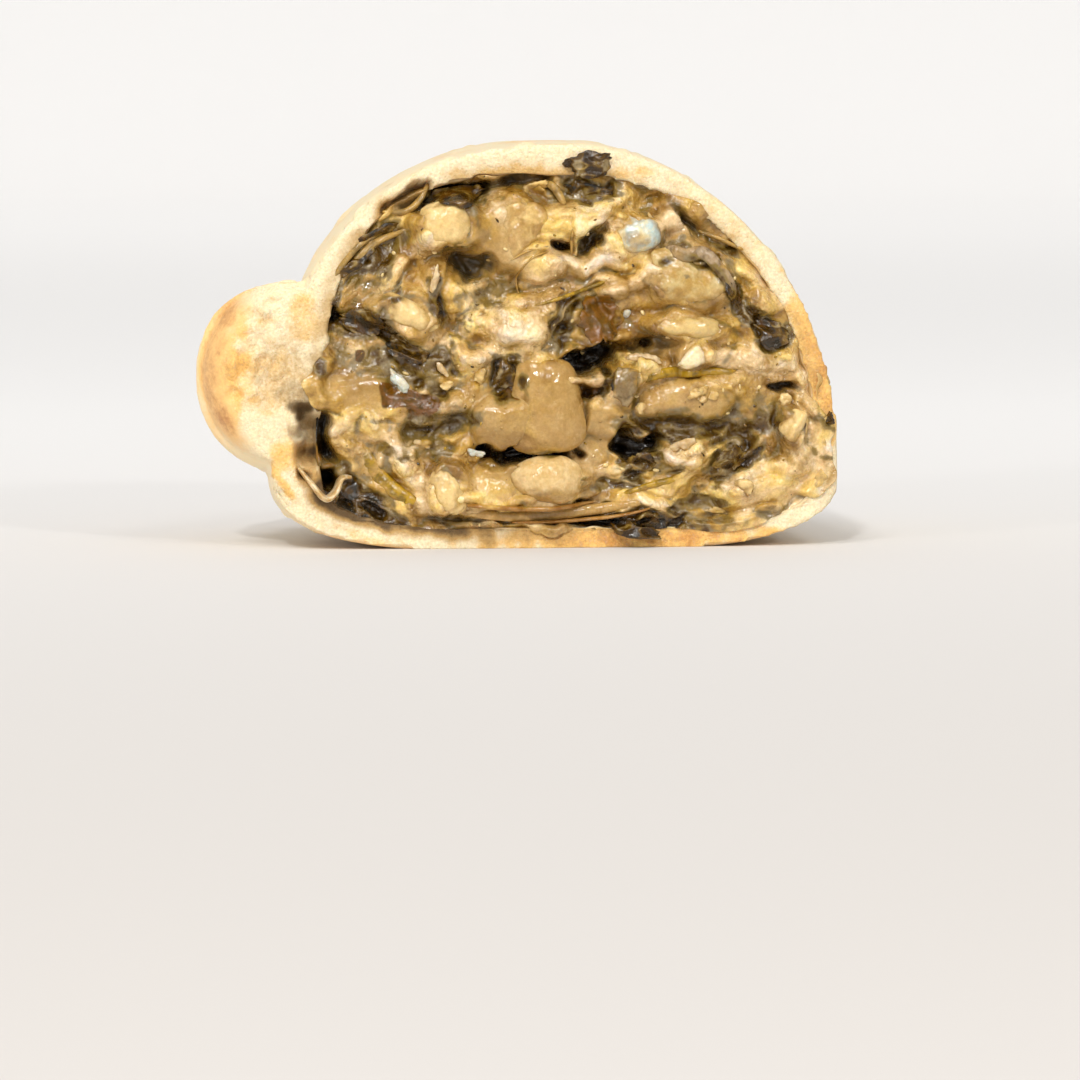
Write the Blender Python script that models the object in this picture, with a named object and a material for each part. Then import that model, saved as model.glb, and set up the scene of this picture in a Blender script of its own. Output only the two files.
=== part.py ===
"""Half of a baked empanada, cut across its middle.

A dough shell with a rope crimp along its round side holds a creamy filling of leaves, onion and cheese.
Metres, +Z up. The flat base stands on Z = 0, and the cut face looks along -Y.
"""

import math
from collections import namedtuple

import bmesh
import bpy
from mathutils import Matrix, Vector, noise

MM = 0.001

# Driving dimensions of the half.
CUT_Y = -24.0 * MM  # plane of the knife cut
BODY_DEPTH = 46.0 * MM  # from the cut to the pointed corner, without the crimp
CRIMP_SIDE_X = -24.5 * MM  # body's edge under the crimp, at the cut
FOLD_SIDE_X = 32.0 * MM  # smooth folded edge, at the cut
CORNER_X = 21.0 * MM  # where crimp side and fold side meet at the back
BODY_HEIGHT = 39.9 * MM
CORNER_HEIGHT = 8.0 * MM
WAIST_HEIGHT = 8.0 * MM  # height at which the cut face is widest
SWELL = 2.4 * MM  # how far the top swells again behind the pinch of the knife
SWELL_AT_CRIMP = 0.5  # share of that swell at the crimp side
SWELL_AT_FOLD = 0.15  # and at the fold side
FOLD_SIDE_TAPER = 0.35  # power of the taper to the corner: under 1 the side stays full and then closes fast
TOP_TAPER = 0.8

# The dough wall, and the clearance that keeps the filling a separate piece.
TOP_WALL = 3.0 * MM
FOLD_WALL = 2.3 * MM
CRIMP_WALL = 4.8 * MM
BASE_WALL = 2.0 * MM
CORNER_WALL = 8.0 * MM
CLEARANCE = 0.3 * MM

# How square each quarter of the section is: 2 is an ellipse.
SQUARE_FOLD_TOP = 2.05
SQUARE_CRIMP_TOP = 2.35
SQUARE_CRIMP_TOP_INSIDE = 3.2
SQUARE_BASE = 3.0
BASE_PRESS = 1.06  # the base is pressed flat where a round section would reach this much lower

# The rope crimp.
CRIMP_FOLDS = 8
CRIMP_CENTRE_IN = 1.5 * MM
CRIMP_CENTRE_Z = 17.2 * MM
CRIMP_CORNER_Z = 6.2 * MM
CRIMP_REACH = 6.4 * MM
CRIMP_HALF_HEIGHT = 8.8 * MM
CRIMP_CORNER_SCALE = 0.62
CRIMP_BULGE = 2.6 * MM
CRIMP_SLANT = 0.16
CRIMP_START = 0.12  # how far into its first fold the knife cuts the rope
CRIMP_BULGE_SKEW = 0.7  # each fold is fullest before its middle
CRIMP_BULGE_UP = 0.2  # share of the bulge that makes a fold taller
CRIMP_START_TURN = -math.radians(6)  # in front of the cut, where the knife takes it off
CRIMP_END_TURN = math.radians(101)
CRIMP_TAPER = math.radians(13)

OVERRUN = 5.0 * MM  # how far solids run past the cut plane before it trims them
KNIFE_SIZE = Vector((120 * MM, 30 * MM, 80 * MM))  # block of everything in front of the cut
MERGE_DISTANCE = 0.02 * MM
SHARP_ANGLE = math.radians(50)

# Dough taken off the outer skin at each side and at the corner, how square the section's crimp shoulder is,
# and the turn of the last section before the corner closes.
Wall = namedtuple("Wall", "crimp fold top base corner crimp_square last_turn")
OUTER_SKIN = Wall(0.0, 0.0, 0.0, 0.0, 0.0, SQUARE_CRIMP_TOP, math.radians(86))
INNER_SKIN = Wall(
    CRIMP_WALL, FOLD_WALL, TOP_WALL, BASE_WALL, CORNER_WALL, SQUARE_CRIMP_TOP_INSIDE, math.radians(76)
)
FILLING_SKIN = INNER_SKIN._replace(
    crimp=CRIMP_WALL + CLEARANCE,
    fold=FOLD_WALL + CLEARANCE,
    top=TOP_WALL + CLEARANCE,
    base=BASE_WALL + CLEARANCE,
    corner=CORNER_WALL + 2 * CLEARANCE,
)

# Fineness of the meshes.
SECTION_POINTS = 44
BODY_RINGS = 13
CRIMP_POINTS = 14
CRIMP_RINGS = 58
FRONT_RINGS = 6
PIECE_FINENESS = 2

# The lumpy front of the filling.
FRONT_CROWN = 1.0 * MM
FRONT_LUMP = 1.1 * MM
FRONT_LUMP_SIZE = 6.5 * MM
FRONT_SETBACK = 0.2 * MM

# Pieces that stand out of the cut face: name, kind, middle X and Z, half width, half height, half depth,
# distance of the middle in front of the cut plane, all in millimetres, and the tilt in degrees.
FACE_PIECES = (
    ("onion_petal", "onion", 2.6, 14.0, 4.0, 5.0, 2.2, 0.6, -8),
    ("cheese_bean", "cheese", 1.3, 6.9, 5.4, 2.5, 2.4, 1.0, 4),
    ("herb_curd", "cheese", 17.0, 26.8, 4.5, 3.0, 2.6, 0.4, -8),
    ("onion_roll", "onion", 16.4, 21.9, 4.1, 1.2, 1.7, 1.2, -3),
    ("white_curd", "cheese", 17.1, 19.1, 2.0, 1.2, 1.4, 1.4, 38),
    ("egg_cube", "egg", 11.5, 31.2, 2.6, 2.1, 1.9, 0.7, 12),
    ("tan_curd", "cheese", -6.9, 32.1, 3.2, 2.5, 2.3, 0.9, -12),
    ("wedge_curd", "cheese", -11.2, 23.4, 3.3, 2.0, 2.0, 1.0, -18),
    ("rim_curd", "cheese", 27.2, 12.0, 1.6, 1.8, 1.7, 0.9, 0),
    ("onion_sheet", "onion", -0.6, 31.2, 3.5, 3.2, 1.5, 0.7, 25),
    ("wet_leaf", "leaf", 7.9, 22.6, 2.7, 2.4, 1.4, 1.1, -40),
    ("corner_curd", "cheese", -7.4, 5.9, 2.2, 2.6, 2.0, 1.2, 10),
)
# A torn leaf that lies on the cut rim at the top.
RIM_LEAF = ("rim_leaf", "leaf", 6.6, 37.9, 2.6, 1.5, 0.7, 1.1, 6)
LUMP_WOBBLE = 0.13
LUMP_WOBBLE_SIZE = 2.6 * MM
POCKET_GAP = 1.3 * CLEARANCE  # all round a piece, in the pocket that it sits in

# Base colour and roughness of each material.
FINISHES = {
    "dough": ((0.80, 0.62, 0.38), 0.62),
    "filling": ((0.52, 0.41, 0.20), 0.32),
    "onion": ((0.66, 0.54, 0.33), 0.28),
    "cheese": ((0.76, 0.62, 0.34), 0.36),
    "egg": ((0.74, 0.78, 0.70), 0.35),
    "leaf": ((0.05, 0.04, 0.02), 0.30),
}


def clear_scene():
    for item in list(bpy.data.objects):
        bpy.data.objects.remove(item)


def finish(kind):
    """The shared material of one kind of food."""
    material = bpy.data.materials.get(kind)
    if material is None:
        material = bpy.data.materials.new(kind)
        material.use_nodes = True
        colour, roughness = FINISHES[kind]
        shader = material.node_tree.nodes["Principled BSDF"]
        shader.inputs["Base Color"].default_value = (*colour, 1.0)
        shader.inputs["Roughness"].default_value = roughness
    return material


def add_object(name, shape, kind, helper=False):
    """Makes an object of a bmesh. A helper is a cutter, which is no piece of the food."""
    bmesh.ops.recalc_face_normals(shape, faces=shape.faces)
    mesh = bpy.data.meshes.new(name)
    shape.to_mesh(mesh)
    shape.free()
    mesh.shade_smooth()
    mesh.set_sharp_from_angle(angle=SHARP_ANGLE)
    piece = bpy.data.objects.new(name, mesh)
    bpy.context.scene.collection.objects.link(piece)
    mesh.materials.append(finish(kind))
    if helper:
        piece.hide_render = True
        piece.display_type = "WIRE"
    return piece


def boolean(piece, other, operation):
    step = piece.modifiers.new(f"{operation.title()} {other.name}", "BOOLEAN")
    step.object = other
    step.operation = operation


def wrapped_sheet(around, along, place):
    """A closed skin: a grid rolled into a tube by place(u, v), whose first and last rows are points."""
    shape = bmesh.new()
    bmesh.ops.create_grid(shape, x_segments=around, y_segments=along, size=0.5)
    for corner in shape.verts:
        corner.co = place(corner.co.x + 0.5, corner.co.y + 0.5)
    bmesh.ops.remove_doubles(shape, verts=shape.verts, dist=MERGE_DISTANCE)
    return shape


def body_edges(turn):
    """Crimp side, fold side, top and waist of the body, at a turn from the cut (0) to the corner (90 deg)."""
    taper = max(math.cos(turn), 0.0)
    swell = SWELL * math.sin(2 * turn) if turn > 0 else 0.0
    crimp_side = CORNER_X - (CORNER_X - CRIMP_SIDE_X) * taper - SWELL_AT_CRIMP * swell
    fold_side = CORNER_X + (FOLD_SIDE_X - CORNER_X) * taper**FOLD_SIDE_TAPER + SWELL_AT_FOLD * swell
    top = CORNER_HEIGHT + (BODY_HEIGHT - CORNER_HEIGHT) * taper**TOP_TAPER + swell
    waist = WAIST_HEIGHT * top / BODY_HEIGHT
    return crimp_side, fold_side, top, waist


def superellipse(angle, squareness):
    """Unit point of a superellipse."""
    c, s = math.cos(angle), math.sin(angle)
    power = 2 / squareness
    return math.copysign(abs(c) ** power, c), math.copysign(abs(s) ** power, s)


def section_point(around, turn, wall=OUTER_SKIN, cap=1.0):
    """Point (x, z) of the body's section, inside the outer skin by the wall. cap shrinks it to its middle."""
    crimp_side, fold_side, top, waist = body_edges(turn)
    low_x, high_x = crimp_side + wall.crimp, fold_side - wall.fold
    low_z, high_z = wall.base, top - wall.top
    angle = 2 * math.pi * around
    if math.sin(angle) < 0:
        squareness = SQUARE_BASE
    elif math.cos(angle) < 0:
        squareness = wall.crimp_square
    else:
        squareness = SQUARE_FOLD_TOP
    x, z = superellipse(angle, squareness)
    reach = high_z - waist if z > 0 else (waist - low_z) * BASE_PRESS
    x = (low_x + high_x) / 2 + (high_x - low_x) / 2 * x * cap
    return x, max(waist + reach * z * cap, low_z)


def ring_point(around, ring, wall):
    """Point of the rings from the cut (0) to the corner, where the last ring is a point."""
    turn = wall.last_turn * min(ring / (BODY_RINGS - 1), 1.0)
    x, z = section_point(around, turn, wall, cap=1.0 if ring < BODY_RINGS else 0.0)
    return Vector((x, CUT_Y + (BODY_DEPTH - wall.corner) * math.sin(turn), z))


def body_skin(wall=OUTER_SKIN, front=OVERRUN):
    """Closed skin of the body, less its wall, which runs past the cut plane by front."""

    def place(u, v):
        row = round(v * (BODY_RINGS + 2))
        if row < 2:
            x, z = section_point(u, 0.0, wall, cap=row)
            return Vector((x, CUT_Y - front, z))
        return ring_point(u, row - 2, wall)

    return wrapped_sheet(SECTION_POINTS, BODY_RINGS + 2, place)


def crimp_skin():
    """Closed skin of the rope crimp that follows the round side, with its slanted overlapping folds."""

    def place(u, v):
        turn = CRIMP_START_TURN + (CRIMP_END_TURN - CRIMP_START_TURN) * v
        share = min(max(turn / (math.pi / 2), 0.0), 1.0)
        angle = 2 * math.pi * u
        fold = (CRIMP_START + CRIMP_FOLDS * turn / (math.pi / 2) + CRIMP_SLANT * math.sin(angle)) % 1.0
        bulge = CRIMP_BULGE * math.sin(math.pi * fold**CRIMP_BULGE_SKEW)
        size = 1 - (1 - CRIMP_CORNER_SCALE) * share
        ends = min(1.0, (CRIMP_END_TURN - turn) / CRIMP_TAPER) if 0 < v < 1 else 0.0
        size *= max(ends, 0.0) ** 0.5
        out = (CRIMP_REACH + bulge) * size * math.cos(angle)
        up = (CRIMP_HALF_HEIGHT + CRIMP_BULGE_UP * bulge) * size * math.sin(angle)
        normal = Vector((-BODY_DEPTH * math.cos(turn), (CORNER_X - CRIMP_SIDE_X) * math.sin(turn), 0))
        normal.normalize()
        crimp_side = CORNER_X - (CORNER_X - CRIMP_SIDE_X) * math.cos(turn)
        path = Vector((crimp_side, CUT_Y + BODY_DEPTH * math.sin(turn), 0))
        height = CRIMP_CENTRE_Z + (CRIMP_CORNER_Z - CRIMP_CENTRE_Z) * share
        spot = path + normal * (out - CRIMP_CENTRE_IN)
        spot.z = max(height + up, 0.0)
        return spot

    return wrapped_sheet(CRIMP_POINTS, CRIMP_RINGS, place)


def knife_block():
    """Everything in front of the cut plane."""
    shape = bmesh.new()
    bmesh.ops.create_cube(shape, size=1.0)
    middle = Vector((0, CUT_Y - KNIFE_SIZE.y / 2, KNIFE_SIZE.z / 4))
    place = Matrix.Translation(middle) @ Matrix.Diagonal((*KNIFE_SIZE, 1))
    bmesh.ops.transform(shape, verts=shape.verts, matrix=place)
    return shape


def build_crust():
    """Dough shell: body and crimp as one, hollowed out and trimmed at the cut."""
    crust = add_object("crust", body_skin(), "dough")
    crimp = add_object("crimp_tool", crimp_skin(), "dough", helper=True)
    hollow = add_object("hollow_tool", body_skin(INNER_SKIN, 2 * OVERRUN), "dough", helper=True)
    knife = add_object("knife_tool", knife_block(), "dough", helper=True)
    boolean(crust, crimp, "UNION")
    boolean(crust, hollow, "DIFFERENCE")
    boolean(crust, knife, "DIFFERENCE")
    return crust


def front_relief(x, z):
    """How far the cut face of the filling stands in front of the cut plane."""
    middle_x, middle_z = (CRIMP_SIDE_X + FOLD_SIDE_X) / 2, BODY_HEIGHT / 2
    across = 2 * (x - middle_x) / (FOLD_SIDE_X - CRIMP_SIDE_X)
    up = 2 * (z - middle_z) / BODY_HEIGHT
    crown = FRONT_CROWN * (1 - across * across - up * up)
    lumps = FRONT_LUMP * noise.noise(Vector((x, 0, z)) / FRONT_LUMP_SIZE)
    return crown + lumps - FRONT_SETBACK


def filling_skin():
    """Closed skin of the filling: the hollow less the clearance, with a lumpy front."""

    def place(u, v):
        row = round(v * (BODY_RINGS + FRONT_RINGS))
        if row <= FRONT_RINGS:
            x, z = section_point(u, 0.0, FILLING_SKIN, cap=row / FRONT_RINGS)
            return Vector((x, CUT_Y - front_relief(x, z), z))
        return ring_point(u, row - FRONT_RINGS, FILLING_SKIN)

    return wrapped_sheet(SECTION_POINTS, BODY_RINGS + FRONT_RINGS, place)


def lumpy_piece(row, grow=0.0):
    """An uneven lump. grow widens it all round, which makes the pocket that it sits in."""
    name, kind, x, z, half_width, half_height, half_depth, ahead, tilt = row
    shape = bmesh.new()
    bmesh.ops.create_icosphere(shape, subdivisions=PIECE_FINENESS, radius=1.0)
    middle = Vector((x * MM, CUT_Y - ahead * MM, z * MM))
    seed = Vector((x, z, half_width))
    for corner in shape.verts:
        way = corner.co.normalized()
        swing = 1 + LUMP_WOBBLE * noise.noise(way * half_width * MM / LUMP_WOBBLE_SIZE + seed)
        corner.co = Vector((
            way.x * (half_width * MM * swing + grow),
            way.y * (half_depth * MM * swing + grow),
            way.z * (half_height * MM * swing + grow),
        ))
    turn = Matrix.Translation(middle) @ Matrix.Rotation(-math.radians(tilt), 4, "Y")
    bmesh.ops.transform(shape, verts=shape.verts, matrix=turn)
    return shape


def build_filling():
    """The filling, with a pocket for each large piece, and the pieces themselves."""
    filling = add_object("filling", filling_skin(), "filling")
    for row in FACE_PIECES:
        add_object(row[0], lumpy_piece(row), row[1])
        pocket = add_object(f"{row[0]}_tool", lumpy_piece(row, grow=POCKET_GAP), "filling", helper=True)
        boolean(filling, pocket, "DIFFERENCE")
    add_object(RIM_LEAF[0], lumpy_piece(RIM_LEAF), RIM_LEAF[1])


def main():
    clear_scene()
    build_crust()
    build_filling()


main()
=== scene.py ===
"""Finish of a cut empanada half: baked dough, creamy filling, and onion, cheese, leaf and stem in it.

The geometry is worked out in millimetres: X to the right on the cut face, Z up, the knife's plane at CUT_Y.
"""

import math
from collections import namedtuple

import bmesh
import bpy
import numpy as np
from bpy.props import FloatProperty, FloatVectorProperty, IntProperty, PointerProperty
from mathutils import Matrix, Vector, noise


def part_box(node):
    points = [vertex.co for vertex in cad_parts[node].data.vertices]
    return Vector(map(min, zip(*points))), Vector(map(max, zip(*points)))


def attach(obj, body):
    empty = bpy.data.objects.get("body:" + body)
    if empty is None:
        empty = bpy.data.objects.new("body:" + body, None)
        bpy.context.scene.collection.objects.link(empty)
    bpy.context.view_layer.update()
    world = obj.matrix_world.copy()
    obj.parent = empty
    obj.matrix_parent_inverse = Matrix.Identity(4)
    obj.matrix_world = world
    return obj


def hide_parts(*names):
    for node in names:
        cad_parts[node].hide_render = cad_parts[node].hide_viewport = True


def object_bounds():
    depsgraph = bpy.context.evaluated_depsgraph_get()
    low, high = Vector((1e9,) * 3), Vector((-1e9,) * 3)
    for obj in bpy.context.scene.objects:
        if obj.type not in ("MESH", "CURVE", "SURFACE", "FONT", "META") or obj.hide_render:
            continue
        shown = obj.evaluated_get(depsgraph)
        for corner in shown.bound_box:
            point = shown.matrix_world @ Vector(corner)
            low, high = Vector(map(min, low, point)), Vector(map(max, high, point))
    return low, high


bl_info = {
    "name": "Empanada Half",
    "version": (1, 0, 0),
    "blender": (4, 5, 0),
    "location": "View3D > Sidebar > Empanada",
    "description": "Adds the finished dough, filling and stage of a cut empanada half",
    "category": "Add Mesh",
}

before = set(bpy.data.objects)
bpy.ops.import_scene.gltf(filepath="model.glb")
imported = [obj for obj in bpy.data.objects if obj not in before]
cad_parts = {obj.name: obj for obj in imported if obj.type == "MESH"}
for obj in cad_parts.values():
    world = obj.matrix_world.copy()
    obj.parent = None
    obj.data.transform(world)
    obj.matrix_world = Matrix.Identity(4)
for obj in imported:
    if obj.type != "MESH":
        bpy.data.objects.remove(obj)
CAD_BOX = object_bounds()

MM = 0.001
CUT_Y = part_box("crust")[0].y / MM  # plane of the knife cut

# Driving dimensions of the shell, as the solid shell has them.
BODY_DEPTH = 46.0
CRIMP_SIDE_X = -24.5
FOLD_SIDE_X = 32.0
CORNER_X = 21.0
BODY_HEIGHT = 39.9
CORNER_HEIGHT = 8.0
WAIST_HEIGHT = 8.0
SWELL = 2.4
SWELL_AT_CRIMP = 0.5
SWELL_AT_FOLD = 0.15
FOLD_SIDE_TAPER = 0.35
TOP_TAPER = 0.8
SQUARE_FOLD_TOP = 2.05
SQUARE_BASE = 3.0
BASE_PRESS = 1.06
CRIMP_FOLDS = 8
CRIMP_CENTRE_IN = 1.5
CRIMP_CENTRE_Z = 17.2
CRIMP_CORNER_Z = 6.2
CRIMP_REACH = 6.4
CRIMP_HALF_HEIGHT = 8.8
CRIMP_CORNER_SCALE = 0.62
CRIMP_BULGE = 2.6
CRIMP_SLANT = 0.16
CRIMP_START = 0.12
CRIMP_BULGE_SKEW = 0.7
CRIMP_BULGE_UP = 0.2
CRIMP_START_TURN = -math.radians(6)
CRIMP_END_TURN = math.radians(101)
CRIMP_TAPER = math.radians(13)

Wall = namedtuple("Wall", "crimp fold top base corner crimp_square last_turn")
OUTER_SKIN = Wall(0.0, 0.0, 0.0, 0.0, 0.0, 2.35, math.radians(86))
INNER_SKIN = Wall(4.8, 2.3, 3.0, 2.0, 8.0, 3.2, math.radians(76))
FILLING_SKIN = INNER_SKIN._replace(crimp=4.6, fold=2.1, top=2.8, base=1.85, corner=8.6)

# How far the fold at the crimp's cut end bulges.
LOBE_BULGE = CRIMP_BULGE * math.sin(math.pi * CRIMP_START**CRIMP_BULGE_SKEW)

# Fineness of the meshes.
BODY_RINGS = 36
BODY_POINTS = 132
CRIMP_RINGS = 230
CRIMP_POINTS = 36
FRONT_COLUMNS = 300
FRONT_ROWS = 230
FILLING_RINGS = 14
STRAND_POINTS = 12
STRAND_RINGS = 56
WELD = 0.002

OVERRUN = 5.0  # how far the blanks run past the cut plane
REFINED = 1.3  # depth behind the cut where the dough's mesh is finer
LOBE_RADIUS = 8.5  # mean radius of the crimp's cut end
BOX_EASE = 0.5  # how far inside the solid model's box the pieces are eased back
FIT_SHARE = 0.98  # size of a large piece for the solid that it replaces
CRUMB_EDGE = 0.93  # how far out on the filling crumbs may lie
FADED_EDGE = (1.25, 0.4)  # where a patch of sauce begins and is whole
CALM_EDGE = (1.15, 0.6)

CAMERA_AZIMUTH = math.radians(-7)
CAMERA_ELEVATION = math.radians(4)
CAMERA_AIM = (2.0, CUT_Y, 0.8)

MIDDLE_X = (CRIMP_SIDE_X + FOLD_SIDE_X) / 2
MIDDLE_Z = 17.0


def rows_of(kind, *rows):
    """A table's rows as named tuples of a kind."""
    return tuple(kind(*row) for row in rows)


# Places on the cut face: X and Z of the middle, half length and half width, and the turn in degrees.
Spot = namedtuple("Spot", "name x z half_long half_wide turn amount", defaults=(1.0,))

LOBE_REACH = CRIMP_REACH + LOBE_BULGE
LOBE = Spot("lobe", CRIMP_SIDE_X + CRIMP_CENTRE_IN, CRIMP_CENTRE_Z, LOBE_REACH, CRIMP_HALF_HEIGHT, 0)

# Golden places on the cut dough. The amount is how golden.
WARM_DOUGH = rows_of(
    Spot,
    ("lobe_left", -29.2, 17.0, 3.0, 9.0, 0, 0.95),
    ("lobe_mottle", -26.8, 18.5, 3.4, 5.0, 0, 0.5),
    ("lobe", -25.0, 17.5, 6.0, 8.0, 0, 0.5),
    ("lobe_top", -21.4, 22.6, 2.4, 3.6, 0, 0.6),
    ("lobe_low", -23.2, 9.4, 2.4, 2.0, -50, 0.8),
    ("right_rim", 30.0, 20.0, 3.8, 13.0, 8, 1.15),
    ("top_right", 21.0, 32.6, 10.0, 3.0, -42, 0.4),
    ("top_inner", 4.0, 36.8, 14.0, 1.2, 0, 0.7),
    ("base_right", 11.0, 0.9, 17.0, 2.0, 1, 1.2),
    ("base_left", -15.0, 0.9, 5.0, 0.8, -24, 0.6),
    ("lobe_crease", -23.5, 6.6, 3.4, 0.7, -52, 0.9),
)

# Cut dough that the filling has soaked, darker near it; in the notch by the crimp (left_wall) the darkening
# is painted shade. The amount is how dark.
SOAKED_AND_SHADED_DOUGH = rows_of(
    Spot,
    ("left_low", -17.5, 3.8, 8.0, 5.6, -36, 1.8),
    ("left_wall", -20.0, 10.2, 3.6, 4.4, 5, 0.75),
    ("lobe_edge", -20.2, 17.5, 3.6, 4.4, 0, 0.7),
    ("lobe_top", -20.0, 23.4, 3.5, 5.0, 0, 0.75),
    ("left_rim", -17.0, 29.2, 3.0, 5.0, -32, 0.8),
    ("base_left", -9.0, 1.6, 9.0, 3.0, -3, 1.4),
    ("base_middle", 1.5, 1.6, 7.0, 3.0, 0, 0.7),
    ("base_right", 15.0, 1.4, 12.0, 3.0, 2, 0.2),
    ("top", 0.0, 37.0, 12.0, 3.0, 0, 0.6),
    ("top_left", -12.2, 33.6, 5.0, 3.0, 36, 1.0),
    ("top_right", 19.3, 31.0, 9.0, 3.0, -48, 0.45),
    ("right", 28.6, 20.0, 3.1, 9.0, 8, 0.55),
)

# Grey and brown smears on the cut dough. The amount is how dark.
SMEARS = rows_of(
    Spot,
    ("lobe", -21.7, 14.0, 1.9, 0.8, -4, 1.1),
    ("lobe_drip", -21.6, 13.2, 0.8, 0.8, 0, 1.0),
    ("lobe_grey", -21.7, 15.0, 3.2, 2.0, 0, 0.55),
    ("lobe_tan", -23.4, 18.6, 4.4, 5.6, 0, 0.36),
)

# Dents in the cut dough. The amount is the depth.
DENTS = rows_of(
    Spot,
    ("pocket", -11.0, 34.7, 2.8, 0.95, 31, 3.2),
    ("lobe_crease_a", -24.3, 6.3, 2.6, 0.25, -54, 0.7),
    ("lobe_crease_b", -23.2, 5.7, 2.2, 0.18, -50, 0.5),
    ("lobe_inner", -19.9, 10.9, 2.3, 3.6, 8, 4.5),
    ("lobe_pit", -28.0, 15.4, 0.8, 0.6, 0, 0.5),
    ("lobe_tear_a", -27.0, 23.0, 1.2, 0.5, 30, 0.5),
    ("lobe_tear_b", -24.6, 24.2, 1.0, 0.5, 10, 0.5),
    ("base_nick", 3.4, 1.3, 0.9, 0.3, 0, 0.5),
    ("base_fold", -3.0, 1.9, 3.4, 0.2, -3, 0.4),
)

# Open places in the filling, sunk and painted dark as shade, darker for deeper ones. The amount is the depth.
HOLLOWS = rows_of(
    Spot,
    ("under_petal", 0.4, 9.2, 4.3, 0.85, 3, 5.0),
    ("middle", 7.4, 18.5, 3.8, 1.4, 13, 5.5),
    ("low_right", 11.8, 10.2, 2.4, 1.3, 0, 4.0),
    ("crimp_wall", -19.5, 10.6, 3.4, 0.9, -74, 5.0),
    ("square", 26.1, 15.6, 1.5, 0.6, -3, 2.5),
    ("under_crust", -1.9, 36.0, 6.4, 0.6, 7, 2.0),
    ("crust_right", 16.0, 32.8, 2.6, 0.6, -38, 1.0),
    ("under_sheet", -4.7, 27.9, 2.7, 1.1, 3, 2.2),
    ("valley_a", 3.6, 30.0, 1.3, 0.5, 5, 1.5),
    ("valley_b", 6.8, 30.3, 1.6, 0.7, 40, 1.6),
    ("left_top", -18.5, 23.3, 0.7, 0.6, 0, 2.5),
    ("bottom_left", -19.2, 6.9, 0.9, 0.9, 0, 3.0),
    ("beside_petal", 6.9, 15.2, 1.6, 0.9, -4, 1.3),
    ("petal_right", 6.2, 13.0, 0.6, 2.7, -10, 1.3),
    ("bean_left", -3.2, 8.0, 1.4, 0.5, 10, 1.2),
    ("pocket", -10.7, 34.2, 2.2, 0.8, 31, 1.3),
    ("under_roll", 12.4, 20.0, 2.8, 0.8, 0, 1.2),
    ("base_line", 4.0, 2.6, 10.9, 0.45, -1, 1.2),
    ("petal_foot", -8.0, 12.0, 3.0, 1.2, 8, 0.9),
)

# Raised sauce. The amount is the height.
SWELLS = rows_of(
    Spot,
    ("left_smooth", -15.3, 14.6, 4.5, 2.2, 0, 0.6),
    ("petal_left", -1.0, 12.3, 4.0, 3.7, 0, 3.2),
    ("grey_lens", 10.2, 16.4, 1.7, 2.3, 8, 1.8),
    ("petal_ledge", 7.2, 16.4, 2.4, 0.9, -4, 0.6),
    ("bean_foot", -2.0, 5.8, 4.0, 2.2, 0, 2.6),
    ("bean_low", 3.2, 5.0, 4.8, 1.5, 4, 2.4),
    ("petal_slope", 8.8, 10.6, 3.2, 3.4, 0, 0.6),
    ("egg_left", 9.2, 30.0, 1.6, 1.5, 0, 1.6),
    ("left_lumps", -15.8, 12.9, 2.8, 1.4, 0, 0.8),
    ("upper_left", -12.3, 27.0, 2.4, 2.2, 0, 1.0),
    ("tan_fall", -8.7, 28.3, 3.6, 1.3, -80, 1.4),
    ("upper_middle", 1.8, 27.5, 2.4, 1.6, 0, 1.2),
    ("crumbly", -1.9, 22.7, 2.4, 1.8, 0, 1.0),
    ("crumbly_low", -3.9, 18.6, 3.0, 1.8, 0, 0.8),
    ("under_rim", 4.0, 32.9, 3.0, 2.5, 0, 0.8),
    ("oval", 7.5, 32.9, 2.6, 1.2, 45, 1.0),
    ("by_egg", 14.9, 32.1, 1.7, 1.3, -50, 1.0),
    ("right_wall_a", 23.0, 27.5, 2.0, 1.2, -55, 0.9),
    ("right_wall_b", 24.3, 24.5, 1.8, 1.6, 0, 0.9),
    ("right_flat", 21.8, 18.6, 3.0, 1.2, 0, 1.0),
    ("right_edge", 27.7, 19.6, 2.0, 1.2, 0, 0.9),
    ("low_right_a", 23.8, 5.0, 4.7, 1.8, 5, 1.6),
    ("low_right_b", 21.3, 6.9, 2.0, 1.6, 0, 1.4),
    ("low_right_c", 27.0, 7.9, 2.0, 1.6, 0, 1.4),
    ("drip", 24.8, 3.6, 1.5, 0.9, 0, 1.6),
    ("right_middle", 27.7, 10.7, 2.2, 2.5, 0, 1.1),
    ("low_left", -9.1, 4.3, 2.7, 1.4, 0, 1.1),
    ("pale_patch", -12.3, 8.7, 2.0, 1.8, 0, 0.8),
    ("low_middle", 9.9, 7.7, 3.0, 1.0, 0, 0.8),
    ("low_curds", 15.9, 9.2, 2.5, 1.4, 0, 0.9),
    ("centre_tan", 9.1, 12.5, 2.8, 1.8, 0, 0.5),
    ("onion_slab", 16.9, 14.4, 4.8, 2.3, 0, 2.2),
    ("mid_ridge", 11.0, 26.0, 5.0, 1.2, 18, 0.8),
)

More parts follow.
